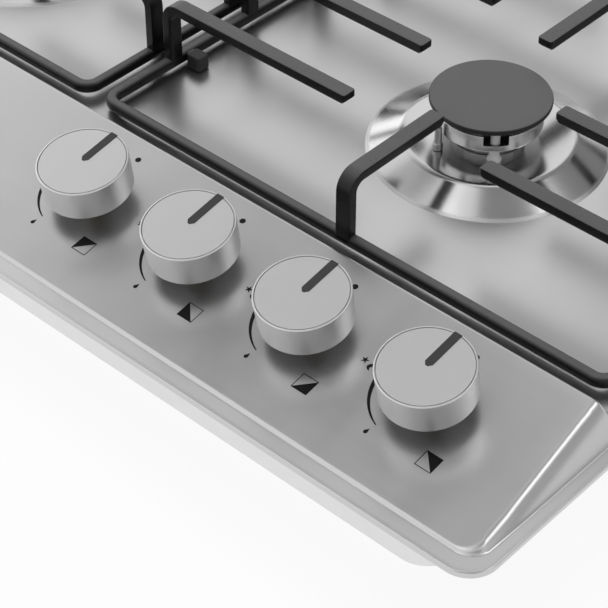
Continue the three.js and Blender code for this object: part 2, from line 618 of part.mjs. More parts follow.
function gasRail() {
  const x1 = KNOB_FIRST + 3 * KNOB_PITCH + RAIL_OVERHANG;
  const rail = post(RAIL_RADIUS, KNOB_FIRST - RAIL_OVERHANG, x1, 16).rotate([0, 90, 0]);
  const union = post(RAIL_RADIUS, 0, RAIL_UNION, 12).rotate([-90, 0, 0]).translate([UNION_X, 0, 0]);
  return rail.add(union).translate([0, railY, railZ]);
}

// From the rail's union the inlet pipe runs back along the box side to a fitting in the rear wall.
function gasInlet() {
  const start = railY + RAIL_UNION + CLEARANCE;
  const rear = -FRONT_Y - BOX_BACK;
  const swing = [0, 0.3, 0.65, 1].map((share) => {
    const ease = THREE.MathUtils.smoothstep(share, 0, 1);
    return [THREE.MathUtils.lerp(UNION_X, INLET_X, ease), start + INLET_LEAD + share * INLET_RUN,
      THREE.MathUtils.lerp(railZ, inletZ, ease)];
  });
  const pipe = tube(INLET_RADIUS, [[UNION_X, start, railZ], ...swing, [INLET_X, rear - INLET_RUN / 3, inletZ],
    [INLET_X, rear + INLET_TAIL, inletZ]], 10, 16);
  const nutEnd = CLEARANCE + FITTING_LENGTH;
  const nut = post(FITTING_RADIUS, CLEARANCE, nutEnd, 6);
  const thread = post(FITTING_RADIUS - THREAD_STEP, nutEnd - 1, nutEnd + THREAD_LENGTH, 14);
  return pipe.add(nut.add(thread).rotate([-90, 0, 0]).translate([INLET_X, rear, inletZ]));
}

// The outlet of a tap in the assembly's frame, and its distance `beyond` the outlet's face.
function outletPoint(x, beyond) {
  const along = TAP_RADIUS + 6 + beyond;
  return [x, KNOB_Y + along * Math.cos(PANEL_SLOPE) - TAP_OUTLET * Math.sin(PANEL_SLOPE),
    panelHeight(KNOB_Y) + along * Math.sin(PANEL_SLOPE) + TAP_OUTLET * Math.cos(PANEL_SLOPE)];
}

function inletPoint(burner, beyond) {
  const reach = burner.neck + 1 + 8 + beyond;
  const angle = THREE.MathUtils.degToRad(burner.inletAngle);
  return [burner.x + reach * Math.cos(angle), burner.y + reach * Math.sin(angle), INLET_Z];
}

// Lanes keep the pipes apart: the long ones dive under the one that crosses them.
const LOW_LANE = BOX_WALL + PIPE_RADIUS + 5;
const CROSS_LANE = CREST_Y + 22;

function gasPipe(name, x) {
  const burner = burnerNamed(name);
  const start = [outletPoint(x, CLEARANCE), outletPoint(x, 5)];
  const end = [inletPoint(burner, 6), inletPoint(burner, CLEARANCE)];
  const side = inletPoint(burner, 28);
  const routes = {
    rear_left: [[x, CREST_Y + 6, LOW_LANE + 8], [x, CREST_Y + 20, LOW_LANE], [x - 6, 0, LOW_LANE],
      [x - 20, burner.y - 60, LOW_LANE + 4], [side[0] + 26, burner.y - 12, INLET_Z - 2], side],
    front_left: [[x - 16, CREST_Y + 10, INLET_Z + 3], [x - 50, CROSS_LANE - 6, INLET_Z + 2],
      [0, CROSS_LANE - 6, INLET_Z + 1], [burner.x + 40, CROSS_LANE - 8, INLET_Z],
      [burner.x + 10, CROSS_LANE + 0, INLET_Z]],
    front_right: [[x - 3, CREST_Y + 8, INLET_Z + 2], [burner.x + 4, side[1], INLET_Z]],
    rear_right: [[x, CREST_Y + 12, INLET_Z + 1], [INLET_LANE, 20, INLET_Z],
      [INLET_LANE, burner.y - 40, INLET_Z], [side[0] + 16, burner.y - 8, INLET_Z], side],
  };
  return tube(PIPE_RADIUS, [...start, ...routes[name], ...end], 8, 16);
}

function ignitionModule() {
  const x0 = MODULE_SIDE - BOX_X;
  const x1 = x0 + MODULE_LENGTH;
  const y0 = FRONT_Y + BOX_FRONT + MODULE_FRONT;
  const y1 = y0 + MODULE_WIDTH;
  const z0 = BOX_WALL + CLEARANCE;
  const body = slab(x0, x1, y0, y1, MODULE_CORNER, z0, z0 + MODULE_HEIGHT);
  const spacing = (MODULE_LENGTH - 2 * TERMINAL_EDGE) / (burners.length - 1);
  const terminals = burners.map((_, i) => block(TERMINAL, TERMINAL_REACH, TERMINAL,
    x0 + TERMINAL_EDGE + i * spacing, y1 + TERMINAL_REACH / 2 - CLEARANCE, z0 + MODULE_HEIGHT * 0.65));
  const lug = block(MODULE_LENGTH + 2 * LUG_REACH, LUG_WIDTH, LUG_THICKNESS,
    (x0 + x1) / 2, (y0 + y1) / 2, z0 + LUG_THICKNESS / 2);
  return joinAll([body, lug, ...terminals]);
}

// ---------------------------------------------------------------- the assembly

place('hob_top', pressedTop(), finishes.steel);
place('bottom_box', bottomBox(), finishes.boxSteel);
place('worktop_seal', worktopSeal(), finishes.foam);

for (const burner of burners) {
  const { name } = burner;
  place(`burner_cup_${name}`, burnerCup(burner), finishes.castAluminium);
  place(`burner_crown_${name}`, burnerCrown(burner), finishes.aluminium);
  place(`burner_cap_${name}`, burnerCap(burner), finishes.capEnamel);
  place(`igniter_${name}`, igniter(burner), finishes.ceramic);
  place(`thermocouple_${name}`, thermocouple(burner), finishes.brass);
}

const rightSupport = panSupport(burnerNamed('front_right'), burnerNamed('rear_right'));
const leftSupport = panSupport(burnerNamed('front_left'), burnerNamed('rear_left')).mirror([1, 0, 0]);
place('pan_support_right', rightSupport, finishes.enamel);
place('pan_support_left', leftSupport, finishes.enamel);
footPlaces().forEach(([x, side, y], i) => {
  place(`support_foot_right_${i + 1}`, supportFoot(x, side, y), finishes.rubber);
  place(`support_foot_left_${i + 1}`, supportFoot(x, side, y).mirror([1, 0, 0]), finishes.rubber);
});

for (const { name, x } of knobPlaces()) {
  const spindle = new THREE.Group();
  spindle.position.set(x, KNOB_Y, panelHeight(KNOB_Y));
  spindle.rotation.x = PANEL_SLOPE;
  assembly.add(spindle);
  place(`tap_body_${name}`, tapBody(), finishes.castAluminium, spindle);
  place(`tap_plug_${name}`, tapPlug(), finishes.brass, spindle);
  place(`tap_stem_${name}`, tapStem(), finishes.brass, spindle);
  place(`knob_collar_${name}`, knobCollar(), finishes.rubber, spindle);
  place(`knob_${name}`, knob(), finishes.knob, spindle);
  place(`gas_pipe_${name}`, gasPipe(name, x), finishes.aluminium);
}

place('gas_rail', gasRail(), finishes.castAluminium);
place('gas_inlet_pipe', gasInlet(), finishes.brass);
place('ignition_module', ignitionModule(), finishes.plastic);

export default assembly;
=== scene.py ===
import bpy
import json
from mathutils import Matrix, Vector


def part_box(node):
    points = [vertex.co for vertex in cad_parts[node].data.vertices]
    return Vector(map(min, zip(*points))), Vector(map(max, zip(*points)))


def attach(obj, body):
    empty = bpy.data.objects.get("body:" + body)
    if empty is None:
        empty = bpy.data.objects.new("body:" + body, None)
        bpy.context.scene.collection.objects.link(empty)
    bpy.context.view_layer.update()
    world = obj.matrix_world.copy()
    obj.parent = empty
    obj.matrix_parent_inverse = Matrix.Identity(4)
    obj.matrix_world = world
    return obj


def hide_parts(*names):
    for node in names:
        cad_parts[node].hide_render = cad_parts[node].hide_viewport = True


bl_info = {
    "name": "Gas Hob",
    "version": (1, 0, 0),
    "blender": (4, 5, 0),
    "location": "View3D > Sidebar > Gas Hob",
    "description": "Dresses the gas hob: pressed top, pan supports, burners, knobs and stage",
    "category": "Object",
}

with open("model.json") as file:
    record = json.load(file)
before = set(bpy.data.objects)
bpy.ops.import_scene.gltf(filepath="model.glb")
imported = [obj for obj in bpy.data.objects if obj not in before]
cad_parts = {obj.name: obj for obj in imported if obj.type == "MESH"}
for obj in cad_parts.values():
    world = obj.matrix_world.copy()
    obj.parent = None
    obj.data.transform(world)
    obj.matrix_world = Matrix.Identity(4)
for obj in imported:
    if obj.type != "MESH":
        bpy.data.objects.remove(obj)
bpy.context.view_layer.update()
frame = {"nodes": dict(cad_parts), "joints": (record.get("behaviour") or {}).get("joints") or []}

import json
import math
from collections import namedtuple

import bmesh
import bpy
from bpy.props import FloatProperty, FloatVectorProperty, PointerProperty
from mathutils import Matrix, Vector

MM = 0.001
MERGE = 0.0005  # vertices nearer than this, in millimetres, become one
NEAR = 0.01  # places nearer than this, in millimetres, are the same
NODES = frame["nodes"]
TAPS = ("rear_left", "front_left", "front_right", "rear_right")
SIDES = ("right", "left")


# ------------------------------------------------------------------ places read from the frame

def span(node):
    """Lowest and highest corner of a node, in millimetres."""
    low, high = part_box(node)
    return [v / MM for v in low], [v / MM for v in high]


TOP_LOW, TOP_HIGH = span("hob_top")
HALF_WIDTH = TOP_HIGH[0]
FRONT = TOP_LOW[1]
BACK = TOP_HIGH[1]
FOOT_GAP = 0.3  # from the deck to the rubber feet
DECK = span("support_foot_right_1")[0][2] - FOOT_GAP
RIM = DECK - 8.7  # the flat rim lies this much below the deck
SLOPE = math.radians(10.1)  # slope of the knob panel
JOINTS = {joint["name"]: joint for joint in frame["joints"]}

# radii in millimetres of each burner's cap, crown, neck and pressed ring, and its number of flame ports
Burner = namedtuple("Burner", "cap crown neck ring ports")
BURNER = {
    "front_left": Burner(48.5, 44.4, 31.0, 89.3, 28),
    "rear_left": Burner(37.0, 33.4, 23.0, 70.0, 22),
    "rear_right": Burner(37.0, 33.4, 23.0, 70.0, 22),
    "front_right": Burner(26.4, 23.1, 16.0, 52.9, 16),
}


def burner_place(name):
    """Centre of a burner in millimetres, from its cap."""
    low, high = span("burner_cap_" + name)
    return (low[0] + high[0]) / 2, (low[1] + high[1]) / 2


def knob_place(name):
    """The point on the panel that a knob turns about, in millimetres."""
    return [v / MM for v in JOINTS["turn_" + name]["pos_m"]]


# ------------------------------------------------------------------ values a user may change

class HobSizes(bpy.types.PropertyGroup):
    edge_roll: FloatProperty(name="Edge roll", description="Radius of the rim's rolled edge",
                             default=0.7 * MM, unit="LENGTH")
    ridge_round: FloatProperty(name="Ridge rounding", description="Softness of the pressed ridges",
                               default=5.8 * MM, unit="LENGTH")
    bar_round: FloatProperty(name="Bar rounding", description="Edge radius of the support frame bars",
                             default=1.7 * MM, unit="LENGTH")
    knob_edge: FloatProperty(name="Knob edge", description="Radius of the knob's top edge",
                             default=0.4 * MM, unit="LENGTH")


class HobFinish(bpy.types.PropertyGroup):
    steel: FloatVectorProperty(name="Steel", description="Colour of the pressed top",
                               default=(0.60, 0.60, 0.60), size=3, subtype="COLOR")
    # the enamel colour is that of the supports' sides; the enamel maker paints their upper faces
    # lighter, as painted light from above
    enamel: FloatVectorProperty(name="Enamel", description="Colour of the pan supports",
                                default=(0.009, 0.009, 0.009), size=3, subtype="COLOR")
    # the cap colour is that of the caps' sides; their tops are painted lighter, as painted light from
    # above
    cap: FloatVectorProperty(name="Cap", description="Colour of the burner caps",
                             default=(0.026, 0.026, 0.026), size=3, subtype="COLOR")
    knob: FloatVectorProperty(name="Knob", description="Colour of the knobs",
                              default=(0.66, 0.66, 0.66), size=3, subtype="COLOR")


class HobStage(bpy.types.PropertyGroup):
    lens: FloatProperty(name="Lens", description="Focal length of the camera",
                        default=122.75, unit="CAMERA")
    key: FloatProperty(name="Key light", description="Power of the overhead softbox",
                       default=22.0, subtype="POWER")
    strip: FloatProperty(name="Strip light", description="Power of the strips overhead",
                         default=2.8, subtype="POWER")
    fill: FloatProperty(name="Fill light", description="Strength of the room's light on dull surfaces",
                        default=0.32, subtype="FACTOR")


# ------------------------------------------------------------------ materials

class Socket:
    """A node output that can be used in arithmetic."""

    def __init__(self, shop, link):
        self.shop = shop
        self.link = link

    def _math(self, operation, other, swap=False, clamp=False):
        values = [other, self] if swap else [self, other]
        return self.shop.node("ShaderNodeMath", {"operation": operation, "use_clamp": clamp}, values)

    def __add__(self, other):
        return self._math("ADD", other)

    def __radd__(self, other):
        return self._math("ADD", other, True)

    def __sub__(self, other):
        return self._math("SUBTRACT", other)

    def __rsub__(self, other):
        return self._math("SUBTRACT", other, True)

    def __mul__(self, other):
        return self._math("MULTIPLY", other)

    def power(self, other):
        """The value raised to a power."""
        return self._math("POWER", other)

    def clamped(self):
        """The same value, kept between zero and one."""
        return self._math("ADD", 0.0, clamp=True)


# places of the sockets of a Mix node that mixes colours
MIX_FACTOR, MIX_FIRST, MIX_SECOND = 0, 6, 7
MIX_COLOUR = 2


class Shop:
    """Builds one material out of nodes."""

    def __init__(self, name, **sockets):
        self.material = bpy.data.materials.new(name)
        self.material.use_nodes = True
        self.tree = self.material.node_tree
        self.shader = self.tree.nodes["Principled BSDF"]
        for key, value in sockets.items():
            self.set(key.replace("_", " "), value)
        self.place = self.node("ShaderNodeTexCoord", {}, [], "Object")

    def feed(self, node, key, value):
        """Links or sets one input of a node."""
        if isinstance(value, Socket):
            self.tree.links.new(value.link, node.inputs[key])
        else:
            node.inputs[key].default_value = value

    def node(self, kind, settings, values, output=0):
        """Adds a node of a kind, with its settings and its input values or links."""
        node = self.tree.nodes.new(kind)
        for key, value in settings.items():
            setattr(node, key, value)
        for key, value in values.items() if isinstance(values, dict) else enumerate(values):
            self.feed(node, key, value)
        return Socket(self, node.outputs[output])

    def set(self, name, value):
        """Sets or links one socket of the shader."""
        self.feed(self.shader, name, value)

    def noise(self, scale, detail, rough=0.5, stretch=(1, 1, 1)):
        """Noise on object coordinates, stretched along an axis where stretch is small."""
        where = self.node("ShaderNodeMapping", {}, {"Vector": self.place, "Scale": stretch})
        values = {"Vector": where, "Scale": scale, "Detail": detail, "Roughness": rough}
        return self.node("ShaderNodeTexNoise", {}, values, "Fac")

    def part_of(self, vector, axis):
        """One axis of a vector."""
        return self.node("ShaderNodeSeparateXYZ", {}, [vector], axis)

    def up(self):
        """One where the surface faces up, down to zero where it is upright or faces down."""
        normal = self.node("ShaderNodeTexCoord", {}, [], "Normal")
        return self.part_of(normal, "Z").clamped()

    def mix(self, factor, first, second):
        """Mixes two colours or tones."""
        colours = [value if isinstance(value, Socket) else grey(value) for value in (first, second)]
        values = {MIX_FACTOR: factor, MIX_FIRST: colours[0], MIX_SECOND: colours[1]}
        return self.node("ShaderNodeMix", {"data_type": "RGBA"}, values, MIX_COLOUR)

    def bump(self, height, strength, distance):
        """Feeds a height into the shader's normal."""
        values = {"Height": height, "Strength": strength, "Distance": distance}
        self.set("Normal", self.node("ShaderNodeBump", {}, values))


def grey(tone):
    """An opaque colour from a tone or a triple."""
    return (tone, tone, tone, 1) if isinstance(tone, (int, float)) else (*tone[:3], 1)


def scaled(colour, factor):
    """A colour made lighter or darker."""
    return tuple(channel * factor for channel in colour[:3])


def brushed_steel(name, colour, roughness):
    """Satin stainless steel, finely brushed from side to side."""
    shop = Shop(name, Metallic=1.0)
    fine = shop.noise(900, 4, 0.6, (0.02, 1, 1))
    long = shop.noise(120, 3, 0.5, (0.03, 1, 1))
    cloud = shop.noise(9, 2, 0.5)
    height = shop.part_of(shop.place, "Z") - (DECK + 0.5) * MM
    behind = shop.part_of(shop.place, "Y") - (FRONT + 100) * MM
    # the pressed burner rings are polished more than the rest
    raised = (height * 2000.0).clamped() * (behind * 500.0).clamped()
    smear = shop.noise(34, 3, 0.55, (1, 0.3, 1))
    tone = fine * 0.15 + long * 0.25 + cloud * 0.25 + smear * 0.35
    shop.set("Base Color", shop.mix(tone.clamped(), scaled(colour, 0.92), scaled(colour, 1.08)))
    shop.set("Roughness", roughness - raised * 0.15 + (fine - 0.5) * 0.05 + (cloud - 0.5) * 0.06
             + (smear - 0.5) * 0.16)
    shop.bump(fine * 0.6 + long * 0.4, 0.012, 0.00004)
    return shop.material


def plain_metal(name, colour, roughness, grain, scale):
    """Metal with a slightly uneven finish, whose tone varies by a share called grain."""
    shop = Shop(name, Metallic=1.0)
    speck = shop.noise(scale, 3, 0.55)
    cloud = shop.noise(scale / 12, 2)
    tone = speck * 0.6 + cloud * 0.4
    shop.set("Base Color", shop.mix(tone, scaled(colour, 1 - grain), scaled(colour, 1 + grain)))
    shop.set("Roughness", roughness + (speck - 0.5) * 0.12)
    shop.bump(speck, 0.12, 0.00005)
    return shop.material


def enamel(name, colour, roughness, pits, painted_top_light, shine):
    """Vitreous enamel over steel or iron: faint orange peel, and painted light: upper faces painted a
    factor lighter than the sides.
    """
    shop = Shop(name, Specular_IOR_Level=shine)
    peel = shop.noise(420, 2, 0.5)
    cloud = shop.noise(60, 3, 0.5)
    base = shop.mix(cloud, scaled(colour, 0.85), scaled(colour, 1.2))
    # painted light from above: faces that point up get a colour a factor lighter, raised to a power so
    # that mostly flat tops take it
    if painted_top_light > 1:
        lit_top_colour = shop.mix(cloud, scaled(colour, painted_top_light * 0.9), scaled(colour, painted_top_light * 1.1))
        base = shop.mix(shop.up().power(4.0), base, lit_top_colour)
    shop.set("Base Color", base)
    shop.set("Roughness", roughness + (cloud - 0.5) * 0.12)
    shop.bump(peel * 0.7 + cloud * 0.3, pits, 0.0001)
    return shop.material


def rubber(name, tone):
    """Dull moulded rubber or foam."""
    shop = Shop(name)
    speck = shop.noise(700, 3, 0.6)
    shop.set("Base Color", shop.mix(speck, tone * 0.8, tone * 1.25))
    shop.set("Roughness", 0.62 + (speck - 0.5) * 0.2)
    shop.bump(speck, 0.2, 0.0001)
    return shop.material


def ink(name, tone):
    """Printed marking ink, with a little wear."""
    shop = Shop(name, Specular_IOR_Level=0.15)
    speck = shop.noise(1500, 2)
    shop.set("Base Color", shop.mix(speck, tone * 0.7, tone * 1.4))
    shop.set("Roughness", 0.5 + (speck - 0.5) * 0.2)
    return shop.material


MATERIALS = {}


def makers(look):
    """The maker of each material and the values that it takes."""
    return {
        "pressed_steel": (brushed_steel, look.steel, 0.32),
        "zinc_sheet": (plain_metal, (0.79, 0.79, 0.80), 0.38, 0.09, 90),
        # painted light: the supports' upper faces are painted 11 times lighter than their sides
        "black_enamel": (enamel, look.enamel, 0.28, 0.06, 11.0, 0.22),
        # painted light: the caps' tops are painted 4.4 times lighter than their sides
        "cap_enamel": (enamel, look.cap, 0.46, 0.1, 4.4, 0.25),
        "bright_aluminium": (plain_metal, (0.66, 0.66, 0.66), 0.24, 0.05, 260),
        # painted shade: near black metal for the faces inside the crown's flame ports and igniter
        # notch, far darker than the aluminium
        "port_metal": (plain_metal, (0.10, 0.10, 0.10), 0.5, 0.1, 400),
        "screw_steel": (plain_metal, (0.5, 0.5, 0.5), 0.3, 0.06, 300),
        "sheath_steel": (plain_metal, (0.34, 0.34, 0.34), 0.36, 0.08, 400),
        "cast_aluminium": (plain_metal, (0.45, 0.45, 0.46), 0.5, 0.12, 500),
        "satin_knob": (plain_metal, look.knob, 0.42, 0.04, 700),
        "white_ceramic": (enamel, (0.93, 0.93, 0.92), 0.30, 0.05, 1, 0.5),
        "black_rubber": (rubber, 0.02),
        "seal_foam": (rubber, 0.05),
        "brass": (plain_metal, (0.55, 0.42, 0.18), 0.3, 0.08, 200),
        "drawn_aluminium": (plain_metal, (0.6, 0.6, 0.61), 0.33, 0.06, 200),
        "module_plastic": (rubber, 0.06),
        "dark_ink": (ink, 0.005),
        "pointer_black": (rubber, 0.024),
    }


def finish(name):
    """The material of that name, made once."""
    if name not in MATERIALS:
        maker, *values = makers(bpy.context.scene.hob_finish)[name]
        MATERIALS[name] = maker(name, *values)
    return MATERIALS[name]


# ------------------------------------------------------------------ mesh helpers, all in millimetres

def finish_piece(name, bm, material, body, nodes=(), sharp=32, closed=True):
    """Turns a bmesh drawn in millimetres into a finished piece that rides on a body.
    Closed is off for an open sheet, whose faces already point the right way."""
    bmesh.ops.remove_doubles(bm, verts=bm.verts, dist=MERGE)
    if closed:
        bmesh.ops.recalc_face_normals(bm, faces=bm.faces)
    bmesh.ops.scale(bm, vec=(MM, MM, MM), verts=bm.verts)
    mesh = bpy.data.meshes.new(name)
    bm.to_mesh(mesh)
    bm.free()
    mesh.shade_smooth()
    mesh.set_sharp_from_angle(angle=math.radians(sharp))
    for edge in open_edges(mesh):
        mesh.edges[edge].use_edge_sharp = True
    piece = bpy.data.objects.new(name, mesh)
    bpy.context.scene.collection.objects.link(piece)
    mesh.materials.append(finish(material))
    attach(piece, body)
    if nodes:
        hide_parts(*nodes)
    return piece


def crisp(piece):
    """Keeps flat faces flat between their rounded edges."""
    shading = piece.modifiers.new("Shading", "WEIGHTED_NORMAL")
    shading.keep_sharp = True


def open_edges(mesh):
    """Numbers of the edges that have one face only."""
    uses = [0] * len(mesh.edges)
    for loop in mesh.loops:
        uses[loop.edge_index] += 1
    return [edge for edge, count in enumerate(uses) if count == 1]


def dress(node, material):
    """Gives a CAD node a better material."""
    slots = NODES[node].data.materials
    slots.clear()
    slots.append(finish(material))


def outline(x0, x1, y0, y1, radius, steps):
    """Points of a rounded rectangle, anticlockwise from the front right corner's start."""
    near_x, far_x, near_y, far_y = x0 + radius, x1 - radius, y0 + radius, y1 - radius
    corners = ((far_x, near_y, -90), (far_x, far_y, 0), (near_x, far_y, 90), (near_x, near_y, 180))
    return [point for cx, cy, start in corners
            for point in arc_points(cx, cy, radius, start, start + 90, steps)]


def loop_of(bm, points):
    """Vertices and edges of a closed loop."""
    verts = [bm.verts.new(point) for point in points]
    edges = [bm.edges.new((verts[i], verts[(i + 1) % len(verts)])) for i in range(len(verts))]
    return verts, edges


def spun(bm, profile, segments, centre=(0, 0), closed=False):
    """Spins a profile of (radius, height) points about a vertical axis."""
    cx, cy = centre
    verts = [bm.verts.new((cx + r, cy, z)) for r, z in profile]
    pairs = list(zip(verts, verts[1:])) + ([(verts[-1], verts[0])] if closed else [])
    edges = [bm.edges.new(pair) for pair in pairs]
    bmesh.ops.spin(bm, geom=verts + edges, cent=(cx, cy, 0), axis=(0, 0, 1), angle=2 * math.pi,
                   steps=segments, use_merge=True, use_duplicate=False)


def open_ring(bm, centre, radius):
    """Open edges that lie on a circle, to join a spun shape to the sheet round it."""
    cx, cy = centre

    def on_circle(v):
        return abs(math.hypot(v.co.x - cx, v.co.y - cy) - radius) < NEAR

    return [e for e in bm.edges if e.is_boundary and all(on_circle(v) for v in e.verts)]


def polar(reach, angle):
    """A point at a reach and an angle in degrees."""
    return reach * math.cos(math.radians(angle)), reach * math.sin(math.radians(angle))


def arc_points(cx, cy, radius, start, end, count):
    """Points on an arc, in degrees."""
    turns = [polar(radius, start + (end - start) * i / count) for i in range(count + 1)]
    return [(cx + x, cy + y) for x, y in turns]


def circle(radius, count):
    """Points on a circle round the origin."""
    return arc_points(0, 0, radius, 0, 360, count)[:-1]


def rounded(points, radius, segments):
    """A polyline with its inner corners rounded, each over a radius at most."""
    out = [points[0]]
    for before, corner, after in zip(points, points[1:], points[2:]):
        a = Vector(before) - Vector(corner)
        b = Vector(after) - Vector(corner)
        reach = min(radius, a.length * 0.45, b.length * 0.45)
        start = Vector(corner) + a.normalized() * reach
        end = Vector(corner) + b.normalized() * reach
        for i in range(segments + 1):
            t = i / segments
            out.append(tuple(start.lerp(Vector(corner), t).lerp(Vector(corner).lerp(end, t), t)))
    out.append(points[-1])
    return out


def move_made(bm, made, vec):
    """Moves the vertices that an extrusion made."""
    verts = [v for v in made["geom"] if isinstance(v, bmesh.types.BMVert)]
    bmesh.ops.translate(bm, vec=vec, verts=verts)


def plate(bm, points, z0, z1):
    """A flat prism from an outline."""
    face = bm.faces.new([bm.verts.new((x, y, z0)) for x, y in points])
    move_made(bm, bmesh.ops.extrude_face_region(bm, geom=[face]), (0, 0, z1 - z0))


def soften(bm, edges, offset, segments):
    """Bevels edges round."""
    bmesh.ops.bevel(bm, geom=list(edges), offset=offset, offset_type="OFFSET", affect="EDGES",
                    segments=segments, profile=0.5, material=-1, clamp_overlap=True)


def sharp_edges(bm, limit):
    """Edges whose faces meet at more than a limit, in degrees."""
    least = math.radians(limit)
    return [e for e in bm.edges if len(e.link_faces) == 2 and e.calc_face_angle(0) > least]


def soften_all(bm, limit, offset, segments):
    """Bevels every edge whose faces meet at more than a limit."""
    bmesh.ops.recalc_face_normals(bm, faces=bm.faces)
    soften(bm, sharp_edges(bm, limit), offset, segments)


def in_place(bm, matrix):
    """Moves the whole bmesh."""
    bmesh.ops.transform(bm, matrix=matrix, verts=bm.verts)


def spindle_frame(name):
    """From a frame on the panel, Z out along the spindle, to the row frame, in millimetres."""
    return Matrix.Translation(knob_place(name)) @ Matrix.Rotation(SLOPE, 4, "X")


# ------------------------------------------------------------------ pressed top

SHEET = 1.0  # thickness of the sheet
RIM_SIDE = 5.6  # width of the flat rim at the sides and behind
RIM_FRONT = 7.9  # width of the flat rim in front
RIM_SOFT = 0.9  # softness of the bend from the rim to the sides
EDGE_DROP = 2.55  # height of the turned-down edge
ROLL_STEPS = 6
RIM_CORNER = 13.0  # corner radius at the rim
FRONT_CORNER = 8.5  # corner radius where the panel's front rises
REAR_CORNER = 14.0  # corner radius where the deck's back rises
CORNER_STEPS = 14
CORNER_LEAD = 4.0  # from a corner to the first point of the long runs
WALL_RUN = 0.505  # run of the drafted sides for each millimetre of rise
PANEL_BEND = 8.3  # from the front edge to the panel
PANEL_STEP = 0.85  # rise of the panel's front above the rim
FRONT_SOFT = 2.0  # softness of the panel's front bend
CREST = 90.4  # from the front edge to the crest between the panel and the deck
CREST_RUN = 0.3  # run of the crest's back for each millimetre of fall
CREST_SOFT = 4.2
CREST_FROM, CREST_TO, CREST_PITCH = 84, 99, 0.5  # where the crest gets dense points
DECK_SOFT = 1.6  # softness of the bend from the crest to the deck
RING_RISE = 7.2  # height of the pressed burner rings
RING_RUN = 15.6  # run of a ring's slope
RING_SOFT = 2.6
RING_SEGMENTS = 120
INNER = 17.0  # inset of the innermost ring of the pressed border
SPINDLE_HOLE = 7.2  # radius of the holes for the knobs' spindles


def smooth_least(a, b, k):
    """The lesser of two heights, with the corner between them rounded."""
    h = max(k - abs(a - b), 0.0) / k
    return min(a, b) - h * h * k / 4


def smooth_most(a, b, k):
    """The greater of two heights, with the corner between them rounded."""
    return -smooth_least(-a, -b, k)


def panel_height(y):
    """Height of the panel's plane at a distance behind the front edge."""
    return RIM + PANEL_STEP + (y - PANEL_BEND) * math.tan(SLOPE)


def top_height(y):
    """Height of the panel, its crest and the deck, at a distance behind the front edge."""
    if y < CREST - 14:
        return panel_height(y)
    fall = panel_height(CREST) - (y - CREST) / CREST_RUN
    hump = smooth_least(panel_height(y), fall, CREST_SOFT)
    return smooth_most(hump, DECK, DECK_SOFT)


def border_height(inset, y, frontness, soft):
    """Height of the pressed border at an inset from the edge."""
    side = RIM_SIDE + (RIM_FRONT - RIM_SIDE) * frontness
    wall = RIM + (inset - side) / WALL_RUN
    height = smooth_least(top_height(y), wall, soft + (FRONT_SOFT - soft) * frontness)
    return smooth_most(RIM, height, RIM_SOFT)


def side_stations():
    """Distances behind the front edge where the long sides get points."""
    steps = round((CREST_TO - CREST_FROM) / CREST_PITCH)
    crest = [CREST_FROM + CREST_PITCH * i for i in range(steps + 1)]
    return [*range(30, 84, 6), *crest, 103, 110, 125, 150, *range(200, 451, 50), 480]


def ring_points(inset, height_at):
    """One ring of the border: its points run anticlockwise from the front right corner.
    Each point carries how much it belongs to the front, from one to zero round the corner."""
    front = RIM_CORNER + (FRONT_CORNER - RIM_CORNER) * min(inset / 8, 1)
    rear = RIM_CORNER + (REAR_CORNER - RIM_CORNER) * min(inset / 5, 1)
    x = HALF_WIDTH - inset
    y0 = FRONT + inset
    y1 = BACK - inset
    corner = arc_points(x - front, y0 + front, front, -90, 0, CORNER_STEPS)
    right = [(px, py, 1 - i / CORNER_STEPS) for i, (px, py) in enumerate(corner)]
    right += [(x, FRONT + station, 0) for station in side_stations()]
    right += [(*point, 0) for point in arc_points(x - rear, y1 - rear, rear, 0, 90, CORNER_STEPS)]
    left = [(-px, py, frontness) for px, py, frontness in reversed(right)]
    across = [i / 10 - 1 for i in range(21)]
    back_run = [(share * (x - rear - CORNER_LEAD), y1, 0) for share in reversed(across)]
    front_run = [(share * (x - front - CORNER_LEAD), y0, 1) for share in across]
    ring = right + back_run + left + front_run
    return [(px, py, height_at(inset, py - FRONT, frontness)) for px, py, frontness in ring]


def border_rings(roll, soft):
    """Rings of the border, from the foot of the turned-down edge to the panel and the deck."""
    rings = [ring_points(0, lambda *at: RIM - EDGE_DROP)]
    for i in range(ROLL_STEPS + 1):
        back, up = polar(roll, 90 * i / ROLL_STEPS)
        rings.append(ring_points(roll - back, lambda *at, drop=roll - up: RIM - drop))
    insets = [2.6, 3.6] + [4.2 + 0.36 * i for i in range(32)] + [INNER]
    return rings + [ring_points(inset, lambda *at: border_height(*at, soft)) for inset in insets]


def close_crest(bm, inner):
    """Bridges the crest from side to side; returns its edges along the panel and along the deck."""
    chains = []
    for sign in (-1, 1):
        column = [v for v in inner if sign * v.co.x > HALF_WIDTH - INNER - NEAR
                  and CREST_FROM - NEAR < v.co.y - FRONT < CREST_TO + NEAR]
        chains.append(sorted(column, key=lambda v: v.co.y))
    sides = [bm.edges.get(pair) for chain in chains for pair in zip(chain, chain[1:])]
    bmesh.ops.bridge_loops(bm, edges=sides)
    return [bm.edges.get((chains[0][end], chains[1][end])) for end in (0, -1)]


def fill_panel(bm, edges):
    """Fills the panel's plane inside its border, with the spindle holes left open."""
    edges = list(edges)
    for name in TAPS:
        kx, ky, kz = knob_place(name)
        hole = [(kx + px, ky + py * math.cos(SLOPE), kz + py * math.sin(SLOPE))
                for px, py in circle(SPINDLE_HOLE, 32)]
        edges += loop_of(bm, hole)[1]
    bmesh.ops.triangle_fill(bm, use_beauty=True, edges=edges,
                            normal=(0, -math.sin(SLOPE), math.cos(SLOPE)))


